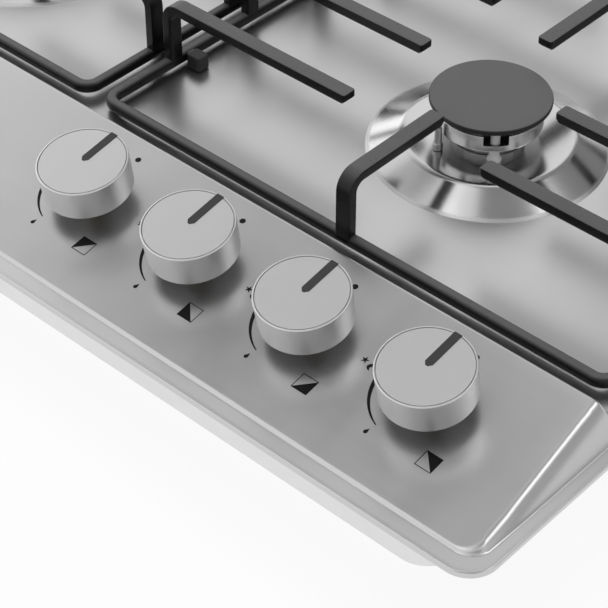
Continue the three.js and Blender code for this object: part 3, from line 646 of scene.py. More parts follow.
def fill_deck(bm, edges):
    """Fills the deck inside its border, with a pressed ring round each burner."""
    edges = list(edges)
    for name, burner in BURNER.items():
        foot = burner.ring
        level = DECK + RING_RISE
        slope = [(foot + 0.4, DECK), (foot, DECK), (foot - RING_RUN, level), (foot - 19.5, level)]
        profile = [(foot + 1.6, DECK), (foot + 0.8, DECK), *rounded(slope, RING_SOFT, 6)[1:],
                   (foot - 20.2, level), (burner.neck + 1.6, level), (burner.neck + 0.6, level)]
        spun(bm, profile, RING_SEGMENTS, burner_place(name))
        edges += open_ring(bm, burner_place(name), foot + 1.6)
    bmesh.ops.triangle_fill(bm, use_beauty=True, edges=edges, normal=(0, 0, 1))


def face_mostly(bm, sign):
    """Turns an open sheet so that its faces point mostly up, or down where the sign is negative."""
    bmesh.ops.recalc_face_normals(bm, faces=bm.faces)
    if sum(f.normal.z * f.calc_area() for f in bm.faces) * sign < 0:
        bmesh.ops.reverse_faces(bm, faces=bm.faces)


def thicken(piece):
    """Gives an open sheet its thickness, inwards from its outer face."""
    wall = piece.modifiers.new("Sheet", "SOLIDIFY")
    wall.thickness = SHEET * MM
    wall.offset = -1


class HOB_OT_top(bpy.types.Operator):
    """Models the pressed steel top: rolled rim, drafted sides, sloping panel, crest and burner rings"""
    bl_idname = "hob.top"
    bl_label = "Pressed top"

    def execute(self, context):
        sizes = context.scene.hob_sizes
        bm = bmesh.new()
        rings = border_rings(sizes.edge_roll / MM, sizes.ridge_round / MM)
        loops = [loop_of(bm, ring) for ring in rings]
        for (_, below), (_, above) in zip(loops, loops[1:]):
            bmesh.ops.bridge_loops(bm, edges=below + above)
        inner, inner_edges = loops[-1]
        panel_tie, deck_tie = close_crest(bm, inner)
        in_front = [e for e in inner_edges if all(v.co.y < FRONT + CREST_FROM + NEAR for v in e.verts)]
        behind = [e for e in inner_edges if all(v.co.y > FRONT + CREST_TO - NEAR for v in e.verts)]
        fill_panel(bm, [*in_front, panel_tie])
        fill_deck(bm, [*behind, deck_tie])
        bmesh.ops.remove_doubles(bm, verts=bm.verts, dist=MERGE)
        face_mostly(bm, 1)
        thicken(finish_piece("pressed_top", bm, "pressed_steel", "hob", ["hob_top"],
                             40, False))
        return {"FINISHED"}


# ------------------------------------------------------------------ bottom box, seal and fittings

def frame_ring(low, high, corner, z, height, width, softness, segments):
    """A rounded rectangular ring of bar or strip, with its edges softened."""
    bm = bmesh.new()
    points = outline(low[0], high[0], low[1], high[1], corner, 12)
    foot = loop_of(bm, [(x, y, z) for x, y in points])[1]
    move_made(bm, bmesh.ops.extrude_edge_only(bm, edges=foot), (0, 0, height))
    bmesh.ops.recalc_face_normals(bm, faces=bm.faces)
    bmesh.ops.solidify(bm, geom=bm.faces[:], thickness=width)
    soften_all(bm, 60, softness, segments)
    return bm


BOX_CORNER = 16.0
BOX_BEND = 2.2  # bend from the box's floor to its walls
BOX_GAP = 0.35  # between the box's front wall and the panel above it
SCREW_INSET = 16.0
DIMPLE = [(7.2, 0), (7.0, 0.05), (6.4, 0.35), (5.4, 2.1), (4.9, 2.35), (0, 2.4)]
SEAL_OUTER = 1.4  # from the top's edge to the seal
SEAL_WIDTH = 4.2
INLET_Z = 17.0
INLET_INSET = 10.5  # from the inlet pipe's right-hand side to its axis
NUT_ACROSS = 10.62
THREADS = 7
THREAD_PITCH = 0.85


class HOB_OT_box(bpy.types.Operator):
    """Models the bottom box, its screws, the worktop seal and the gas inlet"""
    bl_idname = "hob.box"
    bl_label = "Bottom box"

    def execute(self, context):
        low, high = span("bottom_box")
        spots = [(x, y) for x in (low[0] + SCREW_INSET, 0.0, high[0] - SCREW_INSET)
                 for y in (low[1] + SCREW_INSET, high[1] - SCREW_INSET)]
        bm = box_sheet(low, high, spots)
        thicken(finish_piece("box_shell", bm, "zinc_sheet", "hob", ["bottom_box"],
                             40, False))
        bm = bmesh.new()
        for x, y in spots:
            merge_into(bm, screw_head(x, y))
        finish_piece("box_screws", bm, "screw_steel", "hob", (), 30)
        seal_low, seal_high = span("worktop_seal")
        near = (-HALF_WIDTH + SEAL_OUTER, FRONT + SEAL_OUTER)
        far = (HALF_WIDTH - SEAL_OUTER, BACK - SEAL_OUTER)
        bm = frame_ring(near, far, RIM_CORNER - SEAL_OUTER, seal_low[2], seal_high[2] - seal_low[2],
                        SEAL_WIDTH, 0.5, 3)
        finish_piece("seal_strip", bm, "seal_foam", "hob", ["worktop_seal"], 40)
        dress("gas_inlet_pipe", "brass")
        inlet_fittings(span("gas_inlet_pipe")[1][0] - INLET_INSET, high[1])
        return {"FINISHED"}


def box_sheet(low, high, spots):
    """The outer face of the bottom box, with a dimple round each screw."""
    bm = bmesh.new()
    bend = [polar(BOX_BEND, 18 * i) for i in range(6)]
    levels = [(BOX_BEND - up, BOX_BEND - back) for back, up in bend] + [(0, 8), (0, 20), (0, None)]
    loops = []
    for inset, z in levels:
        points = outline(low[0] + inset, high[0] - inset, low[1] + inset, high[1] - inset,
                         BOX_CORNER - inset, 12)
        tops = [min(high[2], panel_height(y - FRONT) - SHEET - BOX_GAP) if z is None else z
                for x, y in points]
        loops.append(loop_of(bm, [(x, y, top) for (x, y), top in zip(points, tops)])[1])
    for below, above in zip(loops, loops[1:]):
        bmesh.ops.bridge_loops(bm, edges=below + above)
    bottom = list(loops[0])
    for spot in spots:
        spun(bm, DIMPLE, 32, spot)
        bottom += open_ring(bm, spot, DIMPLE[0][0])
    bmesh.ops.triangle_fill(bm, use_beauty=True, edges=bottom, normal=(0, 0, -1))
    face_mostly(bm, -1)
    return bm


def inlet_fittings(x, wall):
    """The hexagon nut and the thread on the gas inlet, behind the box's back wall."""
    stand = Matrix.Translation((x, wall, INLET_Z)) @ Matrix.Rotation(math.radians(-90), 4, "X")
    bm = bmesh.new()
    plate(bm, circle(NUT_ACROSS, 6), 0.25, 9.4)
    soften_all(bm, 50, 0.5, 2)
    in_place(bm, stand)
    crisp(finish_piece("inlet_nut", bm, "brass", "hob", (), 30))
    bm = bmesh.new()
    profile = [(6.2, 9.2)]
    for i in range(THREADS):
        profile += [(8.36, 9.2 + THREAD_PITCH * i), (8.8, 9.62 + THREAD_PITCH * i)]
    profile += [(8.3, 15.25), (7.9, 15.3), (6.3, 15.3), (6.2, 15.2)]
    spun(bm, profile, 48, closed=True)
    in_place(bm, stand)
    finish_piece("inlet_thread", bm, "brass", "hob", (), 30)


def screw_head(x, y):
    """A hexagon screw with a washer face, sunk in a dimple of the box's floor."""
    head = bmesh.new()
    spun(head, [(0, 2.4), (4.4, 2.4), (4.4, 2.0), (4.2, 1.85), (0, 1.85)], 32)
    hexagon = bmesh.new()
    plate(hexagon, circle(3.4, 6), 0.15, 1.9)
    soften_all(hexagon, 50, 0.25, 2)
    merge_into(head, hexagon)
    in_place(head, Matrix.Translation((x, y, 0)))
    return head


# ------------------------------------------------------------------ pan supports

FINGER_WIDTH = 7.5
FINGER_THICK = 5.0
FINGER_PITCH = 50.0
TIP_CHAMFER = FINGER_THICK * 0.36
TIP_GAP = 9.3  # from a burner cap to the tips of the fingers round it
BEND = 9.0  # outer radius of a finger's bend
BAR = 5.2  # thickness of the frame bar
BAR_LOW = 2.2  # from the deck to the frame bar
SUPPORT_CORNER = 9.0
INNER_FEET = 100.0  # the feet nearer than this to the middle stand on a support's inner bar
FINGER_ROUND = 1.25  # bevel of a finger's lower long edges
FINGER_EDGE = 0.55  # bevel of its other edges
PEG_ROOT, PEG_TIP = 1.5, 4.5  # from a foot's end to the root and the tip of its peg
PEG_HALF = 2  # half a peg's thickness
FOOT_END, FOOT_SIDE = 1.8, 1.0  # from a foot's solid in to the foot, at one end and at each side
FOOT_CORNER, FOOT_ROUND = 1.4, 0.7


def bend_points(x, height, radius, start, end, count):
    """Points round one bend of a finger."""
    return arc_points(x, height - BEND, radius, start, end, count)


def finger_profile(reach, height):
    """Side view of a bent finger, its upper and lower line: leg, bend and cut tip."""
    outer = [(0, 0), *bend_points(BEND, height, BEND, 180, 90, 8), (reach, height)]
    under = [(reach, height - FINGER_THICK + TIP_CHAMFER), (reach - TIP_CHAMFER, height - FINGER_THICK),
             *bend_points(BEND, height, BEND - FINGER_THICK, 90, 180, 6), (FINGER_THICK, 0)]
    return outer, under


def arch_profile(across, height):
    """Side view of the arch from side to side, with a leg at each end."""
    inner = BEND - FINGER_THICK
    outer = [(0, 0), *bend_points(BEND, height, BEND, 180, 90, 8),
             *bend_points(across - BEND, height, BEND, 90, 0, 8), (across, 0)]
    under = [(across - FINGER_THICK, 0), *bend_points(across - BEND, height, inner, 0, 90, 6),
             *bend_points(BEND, height, inner, 90, 180, 6), (FINGER_THICK, 0)]
    return outer, under


def ridge_profile(length, height):
    """Side view of the bar that lies across the arch, with both tips cut."""
    low = height - FINGER_THICK
    under = [(length, low + TIP_CHAMFER), (length - TIP_CHAMFER, low), (TIP_CHAMFER, low),
             (0, low + TIP_CHAMFER)]
    return [(0, height), (length, height)], under


def placed(x, y, z, turn=0):
    """A place and a turn about the vertical, in degrees."""
    return Matrix.Translation((x, y, z)) @ Matrix.Rotation(math.radians(turn), 4, "Z")


def bent_finger(profile, matrix):
    """A bmesh of one finger with its long edges rounded, lower ones more than upper ones."""
    outer, under = profile
    bm = bmesh.new()
    half = FINGER_WIDTH / 2
    face = bm.faces.new([bm.verts.new((x, -half, z)) for x, z in outer + under])
    move_made(bm, bmesh.ops.extrude_face_region(bm, geom=[face]), (0, FINGER_WIDTH, 0))
    bmesh.ops.recalc_face_normals(bm, faces=bm.faces)
    tops = {(round(x, 3), round(z, 3)) for x, z in outer}

    def on_top(edge):
        return all((round(v.co.x, 3), round(v.co.z, 3)) in tops for v in edge.verts)

    def along(edge):
        a, b = edge.verts
        return abs(a.co.y - b.co.y) < 1e-4 and max(a.co.z, b.co.z) > 0.01

    low = [e for e in bm.edges if along(e) and not on_top(e)]
    soften(bm, low, FINGER_ROUND, 3)
    high = [e for e in sharp_edges(bm, 50) if max(v.co.z for v in e.verts) > 0.01]
    soften(bm, high, FINGER_EDGE, 2)
    in_place(bm, matrix)
    return bm


def merge_into(target, source):
    """Adds one bmesh to another."""
    mesh = bpy.data.meshes.new("part")
    source.to_mesh(mesh)
    source.free()
    target.from_mesh(mesh)
    bpy.data.meshes.remove(mesh)


def support_fingers(side, low, high, z):
    """Side views and places of all the fingers of a support, drawn as for the right-hand one."""
    (x0, y0, _), (x1, y1, top) = low, high
    height = top - z
    fingers, ridge = [], []
    for row, bar, turn in (("front", y0, 90), ("rear", y1, -90)):
        cx, cy = burner_place(f"{row}_{side}")
        cx = abs(cx)
        tip = BURNER[f"{row}_{side}"].cap + TIP_GAP
        for offset in (-FINGER_PITCH, 0, FINGER_PITCH):
            fingers.append((finger_profile(cx - tip - x0, height), placed(x0, cy + offset, z)))
            fingers.append((finger_profile(x1 - cx - tip, height), placed(x1, cy + offset, z, 180)))
        fingers.append((finger_profile(abs(cy - bar) - tip, height), placed(cx, bar, z, turn)))
        ridge.append(cy + tip if row == "front" else cy - tip)
    fingers.append((arch_profile(x1 - x0, height), placed(x0, (y0 + y1) / 2, z)))
    fingers.append((ridge_profile(ridge[1] - ridge[0], height), placed(cx, ridge[0], z, 90)))
    return fingers


def foot_peg(node, z):
    """The peg of a frame bar that a rubber foot is pushed on, drawn as for the right-hand support."""
    low, high = span(node)
    inner, outer = sorted((abs(low[0]), abs(high[0])))
    middle = (low[1] + high[1]) / 2
    at_inner_bar = inner < INNER_FEET
    x0 = inner - PEG_ROOT if at_inner_bar else outer - PEG_TIP
    x1 = inner + PEG_TIP if at_inner_bar else outer + PEG_ROOT
    bm = bmesh.new()
    plate(bm, outline(x0, x1, middle - PEG_HALF, middle + PEG_HALF, 0.5, 2), z - PEG_HALF, z + PEG_HALF)
    return bm


class HOB_OT_supports(bpy.types.Operator):
    """Models both pan supports: a rounded frame bar with bent, welded fingers"""
    bl_idname = "hob.supports"
    bl_label = "Pan supports"

    def execute(self, context):
        bar_round = context.scene.hob_sizes.bar_round / MM
        z = DECK + BAR_LOW + BAR / 2
        for side in SIDES:
            node = "pan_support_" + side
            low, high = span(node)
            if side == "left":
                low[0], high[0] = -high[0], -low[0]
            bm = frame_ring(low, high, SUPPORT_CORNER, DECK + BAR_LOW, BAR, BAR, bar_round, 5)
            for profile, place in support_fingers(side, low, high, z):
                merge_into(bm, bent_finger(profile, place))
            for i in range(1, 5):
                merge_into(bm, foot_peg(f"support_foot_{side}_{i}", z))
            if side == "left":
                bmesh.ops.scale(bm, vec=(-1, 1, 1), verts=bm.verts)
            crisp(finish_piece(node + "_bars", bm, "black_enamel", "support_" + side,
                               [node], 35))
        return {"FINISHED"}


class HOB_OT_feet(bpy.types.Operator):
    """Models the rubber feet pushed on the pegs of the pan supports"""
    bl_idname = "hob.feet"
    bl_label = "Support feet"

    def execute(self, context):
        for side in SIDES:
            for i in range(1, 5):
                node = f"support_foot_{side}_{i}"
                low, high = span(node)
                bm = bmesh.new()
                at_left = (abs(low[0]) < INNER_FEET) == (side == "right")
                x0, x1 = (low[0], high[0] - FOOT_END) if at_left else (low[0] + FOOT_END, high[0])
                y0, y1 = low[1] + FOOT_SIDE, high[1] - FOOT_SIDE
                plate(bm, outline(x0, x1, y0, y1, FOOT_CORNER, 3), low[2], high[2])
                soften_all(bm, 60, FOOT_ROUND, 3)
                crisp(finish_piece(f"foot_{side}_{i}", bm, "black_rubber", "support_" + side,
                                   [node]))
        return {"FINISHED"}


# ------------------------------------------------------------------ burners

CROWN_LOW = 13.7  # from the deck to the crown
CAP_TOP = 27.0  # from the deck to the top of the cap
CAP_THICK = 2.6
CROWN_TOP = CAP_TOP - CAP_THICK - 0.3  # from the deck to the crown's top, just under the cap
SPARK_ANGLE = -45  # bearing of the igniter
SPARK_INSET = 3.1  # igniter inside the crown's edge
CROWN_WALL = 7.6  # height of the outer wall
CROWN_STEP = 2.0  # upper ring inside the outer wall
CROWN_RING = 8.0  # whole thickness of the ring
NOTCH = 10.8  # width of the notch for the igniter
NOTCH_FLOOR = 3.1  # from the crown's foot to the notch
PROBE_ANGLE = -110  # bearing of the thermocouple
PROBE_OUTSET = 2.2  # thermocouple outside the crown's edge
PROBE_BELOW = 8  # from the cap's top down to the thermocouple's tip
PORT_CLEAR = 8  # no port nearer than this to the middle of the notch
PORT = 1.6  # width of a port
PORT_DEEP = 2.2  # from the crown's top to the floor of a port


def crown_ring(burner):
    """The turned ring of a crown, round the origin."""
    crown = burner.crown
    spigot = burner.neck - 4.9
    low = DECK + CROWN_LOW
    ledge = low + CROWN_WALL
    top = DECK + CROWN_TOP
    floor = low + NOTCH_FLOOR
    inner = crown - CROWN_RING
    upper = crown - CROWN_STEP
    bm = bmesh.new()
    profile = [(crown - 0.9, low), (crown - 0.25, low + 0.2), (crown, low + 0.8), (crown, ledge - 0.4),
               (crown - 0.12, ledge - 0.12), (crown - 0.4, ledge), (upper, ledge), (upper, top - 0.3),
               (upper - 0.3, top), (inner + 0.3, top), (inner, top - 0.3), (inner, floor),
               (spigot - 2.5, floor), (spigot - 2.5, low - 6), (spigot, low - 6), (spigot, low)]
    spun(bm, profile, 144, closed=True)
    bmesh.ops.remove_doubles(bm, verts=bm.verts, dist=MERGE)
    bmesh.ops.recalc_face_normals(bm, faces=bm.faces)
    return bm


def crown_cutters(burner):
    """The shapes cut out of a crown round the origin: flame ports, the igniter's notch and its hole."""
    crown = burner.crown
    low = DECK + CROWN_LOW
    top = DECK + CROWN_TOP
    bm = bmesh.new()
    for i in range(burner.ports):
        turn = (i + 0.5) * 360 / burner.ports
        if min(turn, 360 - turn) < math.degrees(PORT_CLEAR / crown):
            continue
        port = bmesh.new()
        plate(port, outline(crown - 4.6, crown - CROWN_STEP + 1, -PORT / 2, PORT / 2, 0.1, 1),
              top - PORT_DEEP, top + 2)
        in_place(port, placed(0, 0, 0, SPARK_ANGLE + turn))
        merge_into(bm, port)
    notch = bmesh.new()
    plate(notch, outline(crown - CROWN_RING + 1.4, crown + 3, -NOTCH / 2, NOTCH / 2, 0.4, 2),
          low + NOTCH_FLOOR, top + 2)
    in_place(notch, placed(0, 0, 0, SPARK_ANGLE))
    merge_into(bm, notch)
    hole = bmesh.new()
    plate(hole, circle(2.6, 24), low - 2, top + 2)
    in_place(hole, placed(*polar(crown - SPARK_INSET, SPARK_ANGLE), 0))
    merge_into(bm, hole)
    return bm


class HOB_OT_crowns(bpy.types.Operator):
    """Models the burner crowns: turned rings with flame ports and a notch for the igniter"""
    bl_idname = "hob.crowns"
    bl_label = "Burner crowns"

    def execute(self, context):
        for name, burner in BURNER.items():
            bm = crown_ring(burner)
            cutters = crown_cutters(burner)
            for shape in (bm, cutters):
                in_place(shape, placed(*burner_place(name), 0))
            bmesh.ops.recalc_face_normals(cutters, faces=cutters.faces)
            piece = finish_piece("crown_" + name, bm, "bright_aluminium", "crown_" + name,
                                 ["burner_crown_" + name], 30)
            # the faces of the ports and notch are painted dark, as shade inside them
            carve(piece, cutters, finish("port_metal"))
            crisp(piece)
        return {"FINISHED"}


def carve(piece, cutters, cut_shade_finish):
    """Cuts a bmesh, drawn in millimetres, out of a piece; the cut faces get a dark material of their
    own, painted shade inside the cuts.
    """
    piece.data.materials.append(cut_shade_finish)
    for face in cutters.faces:
        face.material_index = 1
    bmesh.ops.scale(cutters, vec=(MM, MM, MM), verts=cutters.verts)
    mesh = bpy.data.meshes.new("cutters")
    cutters.to_mesh(mesh)
    cutters.free()
    for material in piece.data.materials:
        mesh.materials.append(material)
    tool = bpy.data.objects.new("cutters", mesh)
    bpy.context.scene.collection.objects.link(tool)
    cut = piece.modifiers.new("Cut", "BOOLEAN")
    cut.operation = "DIFFERENCE"
    cut.solver = "EXACT"
    cut.use_self = True
    cut.object = tool
    bpy.context.view_layer.update()
    shaped = bpy.data.meshes.new_from_object(piece.evaluated_get(bpy.context.evaluated_depsgraph_get()))
    piece.modifiers.clear()
    old = piece.data
    piece.data = shaped
    shaped.name = old.name
    bpy.data.meshes.remove(old)
    bpy.data.objects.remove(tool)
    bpy.data.meshes.remove(mesh)
    shaped.shade_smooth()
    shaped.set_sharp_from_angle(angle=math.radians(30))


class HOB_OT_caps(bpy.types.Operator):
    """Models the enamelled burner caps with their soft, slightly domed edge"""
    bl_idname = "hob.caps"
    bl_label = "Burner caps"

    def execute(self, context):
        top = DECK + CAP_TOP
        under = top - CAP_THICK
        for name, burner in BURNER.items():
            cap = burner.cap
            lip = burner.crown - CROWN_RING - 0.8
            bm = bmesh.new()
            profile = [(0, under - 1.1), (lip, under - 1.1), (lip, under), (cap - 0.8, under),
                       (cap - 0.25, under + 0.2), (cap, under + 0.7),
                       *arc_points(cap - 0.7, top - 0.75, 0.7, 0, 75, 5),
                       (cap - 4, top - 0.01), (0, top)]
            spun(bm, profile, 144)
            in_place(bm, placed(*burner_place(name), 0))
            crisp(finish_piece("cap_" + name, bm, "cap_enamel", "cap_" + name,
                               ["burner_cap_" + name], 50))
        return {"FINISHED"}


class HOB_OT_burner_bases(bpy.types.Operator):
    """Dresses the burner cups and models the igniters and thermocouples"""
    bl_idname = "hob.burner_bases"
    bl_label = "Burner bases"

    def execute(self, context):
        ring = DECK + RING_RISE
        under = DECK + CAP_TOP - CAP_THICK
        tip = DECK + CAP_TOP - PROBE_BELOW
        spark = [(0, ring - 1.1), (2.1, ring - 1.1), (2.1, ring + 0.3), (3.0, ring + 0.3),
                 (3.15, ring + 0.6), (3.15, ring + 1.5), (2.95, ring + 2.1), (2.4, ring + 2.9),
                 (2.15, ring + 3.8), (2.1, under - 2.6), (1.85, under - 2.2), (0.7, under - 2.1),
                 (0.6, under - 1.4), (0, under - 1.4)]
        probe = [(0, ring - 18), (1.6, ring - 18), (1.6, ring + 0.3), (2.2, ring + 0.3),
                 (2.2, ring + 3), (1.7, ring + 3.4), (1.6, ring + 3.8), (1.6, tip - 1.4),
                 (1.4, tip - 0.7), (0.9, tip - 0.2), (0, tip)]
        for name, burner in BURNER.items():
            dress("burner_cup_" + name, "cast_aluminium")
            bm = self.turned_pin(name, spark, 40, polar(burner.crown - SPARK_INSET, SPARK_ANGLE))
            finish_piece("spark_" + name, bm, "white_ceramic", "hob",
                         ["igniter_" + name], 45)
            bm = self.turned_pin(name, probe, 28, polar(burner.crown + PROBE_OUTSET, PROBE_ANGLE))
            finish_piece("probe_" + name, bm, "sheath_steel", "hob",
                         ["thermocouple_" + name], 45)
        return {"FINISHED"}

    def turned_pin(self, name, profile, segments, spot):
        """A turned pin beside a burner's crown."""
        bm = bmesh.new()
        spun(bm, profile, segments)
        cx, cy = burner_place(name)
        in_place(bm, placed(cx + spot[0], cy + spot[1], 0))
        return bm


# ------------------------------------------------------------------ knobs and their marks

KNOB = 19.5  # radius at the top
KNOB_FOOT = 19.15  # radius at the foot
KNOB_LOW = 7.3  # from the panel to the knob's foot
KNOB_TOP = 22.0  # from the panel to the knob's top
KNOB_DISC = 18.42  # radius of the inset disc
KNOB_SEAM = 18.7  # outer radius of the fine gap round the disc
POINTER = 1.9  # half the pointer's width


def knob_profile(edge):
    """Section of a knob: socket for the stem, hollow, wall, rounded edge, fine gap and inset disc."""
    socket = [(0, 19.3), (3.3, 19.3), (3.3, 8.0), (5.6, 8.0), (5.6, 18.8), (17.4, 18.8)]
    foot = [(17.5, KNOB_LOW + 0.2), (17.7, KNOB_LOW), (KNOB_FOOT - 0.4, KNOB_LOW),
            (KNOB_FOOT, KNOB_LOW + 0.4)]
    shoulder = arc_points(KNOB - edge, KNOB_TOP - edge, edge, 0, 90, 4)
    gap = [(KNOB_SEAM + 0.08, KNOB_TOP), (KNOB_SEAM, KNOB_TOP - 0.08), (KNOB_SEAM, KNOB_TOP - 1.6),
           (KNOB_DISC, KNOB_TOP - 1.6)]
    disc = [(KNOB_DISC, KNOB_TOP - 0.12), (KNOB_DISC - 0.08, KNOB_TOP - 0.04), (10, KNOB_TOP - 0.02),
            (0, KNOB_TOP - 0.02)]
    return socket + foot + shoulder + gap + disc


class HOB_OT_knobs(bpy.types.Operator):
    """Models the knobs: a turned shell with an inset disc and a dark pointer"""
    bl_idname = "hob.knobs"
    bl_label = "Knobs"

    def execute(self, context):
        profile = knob_profile(context.scene.hob_sizes.knob_edge / MM)
        half = POINTER
        pointer = [(half, 1.9), (half, 19.15), (half - 0.4, 19.3), (-half + 0.4, 19.3), (-half, 19.15),
                   (-half, 1.9), (-0.55, 0.35), (0.55, 0.35)]
        for name in TAPS:
            body = "dial_" + name
            bm = bmesh.new()
            spun(bm, profile, 128)
            in_place(bm, spindle_frame(name))
            crisp(finish_piece("knob_shell_" + name, bm, "satin_knob", body,
                               ["knob_" + name], 32))
            bm = bmesh.new()
            plate(bm, pointer, KNOB_TOP - 0.8, KNOB_TOP + 0.12)
            bmesh.ops.recalc_face_normals(bm, faces=bm.faces)
            upper = [e for e in sharp_edges(bm, 60) if min(v.co.z for v in e.verts) > KNOB_TOP]
            soften(bm, upper, 0.12, 2)
            in_place(bm, spindle_frame(name))
            crisp(finish_piece("pointer_" + name, bm, "pointer_black", body, (), 30))
            dress("knob_collar_" + name, "black_rubber")
        return {"FINISHED"}


def flame_points(size):
    """Outline of a small flame with a hollow heart open at its foot, tip up, about one size high."""
    outer = [(0.14, 0.0), (-0.14, 0.04), (-0.34, 0.2), (-0.38, 0.42), (-0.22, 0.66), (0.0, 0.84),
             (0.12, 1.05), (0.28, 0.8), (0.44, 0.54), (0.48, 0.28)]
    heart = [(0.34, 0.12), (0.30, 0.34), (0.14, 0.54), (0.0, 0.42), (-0.06, 0.26), (0.02, 0.12)]
    return [(x * size, y * size) for x, y in outer + heart]


def turned(points, angle, centre):
    """Points turned by degrees and moved to a centre."""
    c = math.cos(math.radians(angle))
    s = math.sin(math.radians(angle))
    return [(centre[0] + x * c - y * s, centre[1] + x * s + y * c) for x, y in points]


INK_LOW, INK_HIGH = 0.01, 0.06  # the print's faces above the panel
SQUARE_CORNER = {"rear_left": 3, "front_left": 0, "front_right": 1, "rear_right": 2}  # quarter turns
# places of the marks round a knob's axis
OFF_DOT, SPARK_MARK, LARGE_FLAME, SMALL_FLAME = (0, 27.5), (-33.5, 1.6), (-29.3, -1.7), (-11.2, -25.4)


def star_points(centre):
    """Outline of the five-pointed spark star."""
    points = []
    for turn in range(90, 450, 72):
        points += turned([(1.8, 0)], turn, centre) + turned([(0.7, 0)], turn + 36, centre)
    return points


def level_arc():
    """Outline of the tapered arc from the large flame to the small one."""
    outer, inner = [], []
    for i in range(29):
        t = i / 28
        angle = 181 + 63 * t
        reach = 24.4 - 2.3 * t
        width = 1.5 * (1 - t) ** 0.8 + 0.4
        outer.append(polar(reach + width / 2, angle))
        inner.append(polar(reach - width / 2, angle))
    return outer + inner[::-1]


def burner_square(corner):
    """Outlines of a square with one corner filled: the burner that a knob works."""
    half, line, centre = 3.875, 0.34, (17.0, -21.2)
    side = [(-half, -half), (half, -half), (half - line, -half + line), (-half + line, -half + line)]
    triangle = [(-half, -half), (half, -half), (-half, half)]
    return [turned(side, 90 * i, centre) for i in range(4)] + [turned(triangle, 90 * corner, centre)]


class HOB_OT_marks(bpy.types.Operator):
    """Prints the generic marks round the knobs: off dot, spark, flames, level arc and burner square"""
    bl_idname = "hob.marks"
    bl_label = "Panel marks"

    def execute(self, context):
        dot = arc_points(*OFF_DOT, 1.35, 0, 360, 28)[:-1]
        large_flame = turned(flame_points(4.6), 0, LARGE_FLAME)
        drop = [(0, 0), (0.75, 0.35), (0.95, 1.1), (0.35, 2.1), (-0.3, 3.0), (-0.5, 1.9), (-0.9, 1.0),
                (-0.6, 0.25)]
        small_flame = turned(drop, -20, SMALL_FLAME)
        marks = [dot, star_points(SPARK_MARK), large_flame, small_flame, level_arc()]
        for name in TAPS:
            bm = bmesh.new()
            for points in marks + burner_square(SQUARE_CORNER[name]):
                plate(bm, points, INK_LOW, INK_HIGH)
            in_place(bm, spindle_frame(name))
            finish_piece("marks_" + name, bm, "dark_ink", "hob", (), 30)
        return {"FINISHED"}


# ------------------------------------------------------------------ taps, rail and pipes

class HOB_OT_inside(bpy.types.Operator):
    """Gives the taps, rail, pipes and ignition module inside the box their finishes"""
    bl_idname = "hob.inside"
    bl_label = "Inside pieces"

    def execute(self, context):
        for name in TAPS:
            dress("tap_body_" + name, "cast_aluminium")
            dress("tap_plug_" + name, "brass")
            dress("tap_stem_" + name, "brass")
            dress("gas_pipe_" + name, "drawn_aluminium")
        dress("gas_rail", "cast_aluminium")
        dress("ignition_module", "module_plastic")
        return {"FINISHED"}


# ------------------------------------------------------------------ stage

STAGE_MIDDLE = Vector((0.13, -0.13, 0.06))
CAMERA_PLACE = (0.5729, -0.6467, DECK * MM + 0.5371)
CAMERA_TURN = (math.pi / 2 - 0.718, 0, 0.740)
FLOOR_HALF = 4
FLOOR_GAP = 0.0005  # the floor lies this much below the hob
FLOOR_GLOW = 0.92  # how much of the floor shines white to the camera; the rest takes the shadow

# bearing and elevation in degrees and distance in metres from the stage's middle, size and tone
BOARDS = {
    "left_board": ((184, 14, 2.4), (3.5, 1.4), 1.7),
    "deck_board": ((130, 38, 2.5), (1.6, 0.95), 1.06),
    "panel_board": ((154, 56, 2.3), (1.3, 0.75), 0.46),
    "panel_low_board": ((160, 62, 2.1), (0.75, 0.42), 0.05),
    "right_board": ((62, 42, 2.1), (2.8, 1.7), 0.27),
    "ridge_board": ((43, 54, 1.95), (0.95, 1.05), 0.9),
    "top_board": ((56, 78, 1.93), (1.1, 0.75), 0.28),
    "side_board": ((34, 8, 2.2), (1.3, 0.9), 0.4),
    "front_board": ((-48, 50, 2.3), (2.6, 1.3), 0.2),
}


class HOB_OT_stage(bpy.types.Operator):
    """Sets the floor, the soft lights and the camera of the photograph"""
    bl_idname = "hob.stage"
    bl_label = "Stage"

    def execute(self, context):
        scene = context.scene
        stage = scene.hob_stage
        scene.view_settings.view_transform = "Standard"
        camera = bpy.data.objects.new("Camera", bpy.data.cameras.new("Camera"))
        camera.data.lens = stage.lens
        camera.data.sensor_width = 36
        camera.data.clip_start = 0.01
        camera.location = CAMERA_PLACE
        camera.rotation_euler = CAMERA_TURN
        scene.collection.objects.link(camera)
        scene.camera = camera
        bm = bmesh.new()
        bmesh.ops.create_grid(bm, x_segments=1, y_segments=1, size=FLOOR_HALF)
        bmesh.ops.translate(bm, vec=(0, 0, -FLOOR_GAP), verts=bm.verts)
        stage_piece("floor", bm, floor_material())
        scene.world = studio_world(stage.fill)
        # dull surfaces are lit from above and a little from the left
        softbox = lamp("overhead_softbox", around(165, 72, 1.9), 1.5, 1.5, stage.key)
        softbox.visible_glossy = False
        # the metal mirrors two strips overhead and boards, bright at the left and dark at the right
        lamp("overhead_strip", around(222, 76, 1.9), 0.45, 0.34, stage.strip * 0.2)
        lamp("ridge_strip", around(42, 56, 1.9), 0.75, 0.62, stage.strip)
        for name, (place, size, tone) in BOARDS.items():
            board(name, around(*place), size, tone)
        return {"FINISHED"}


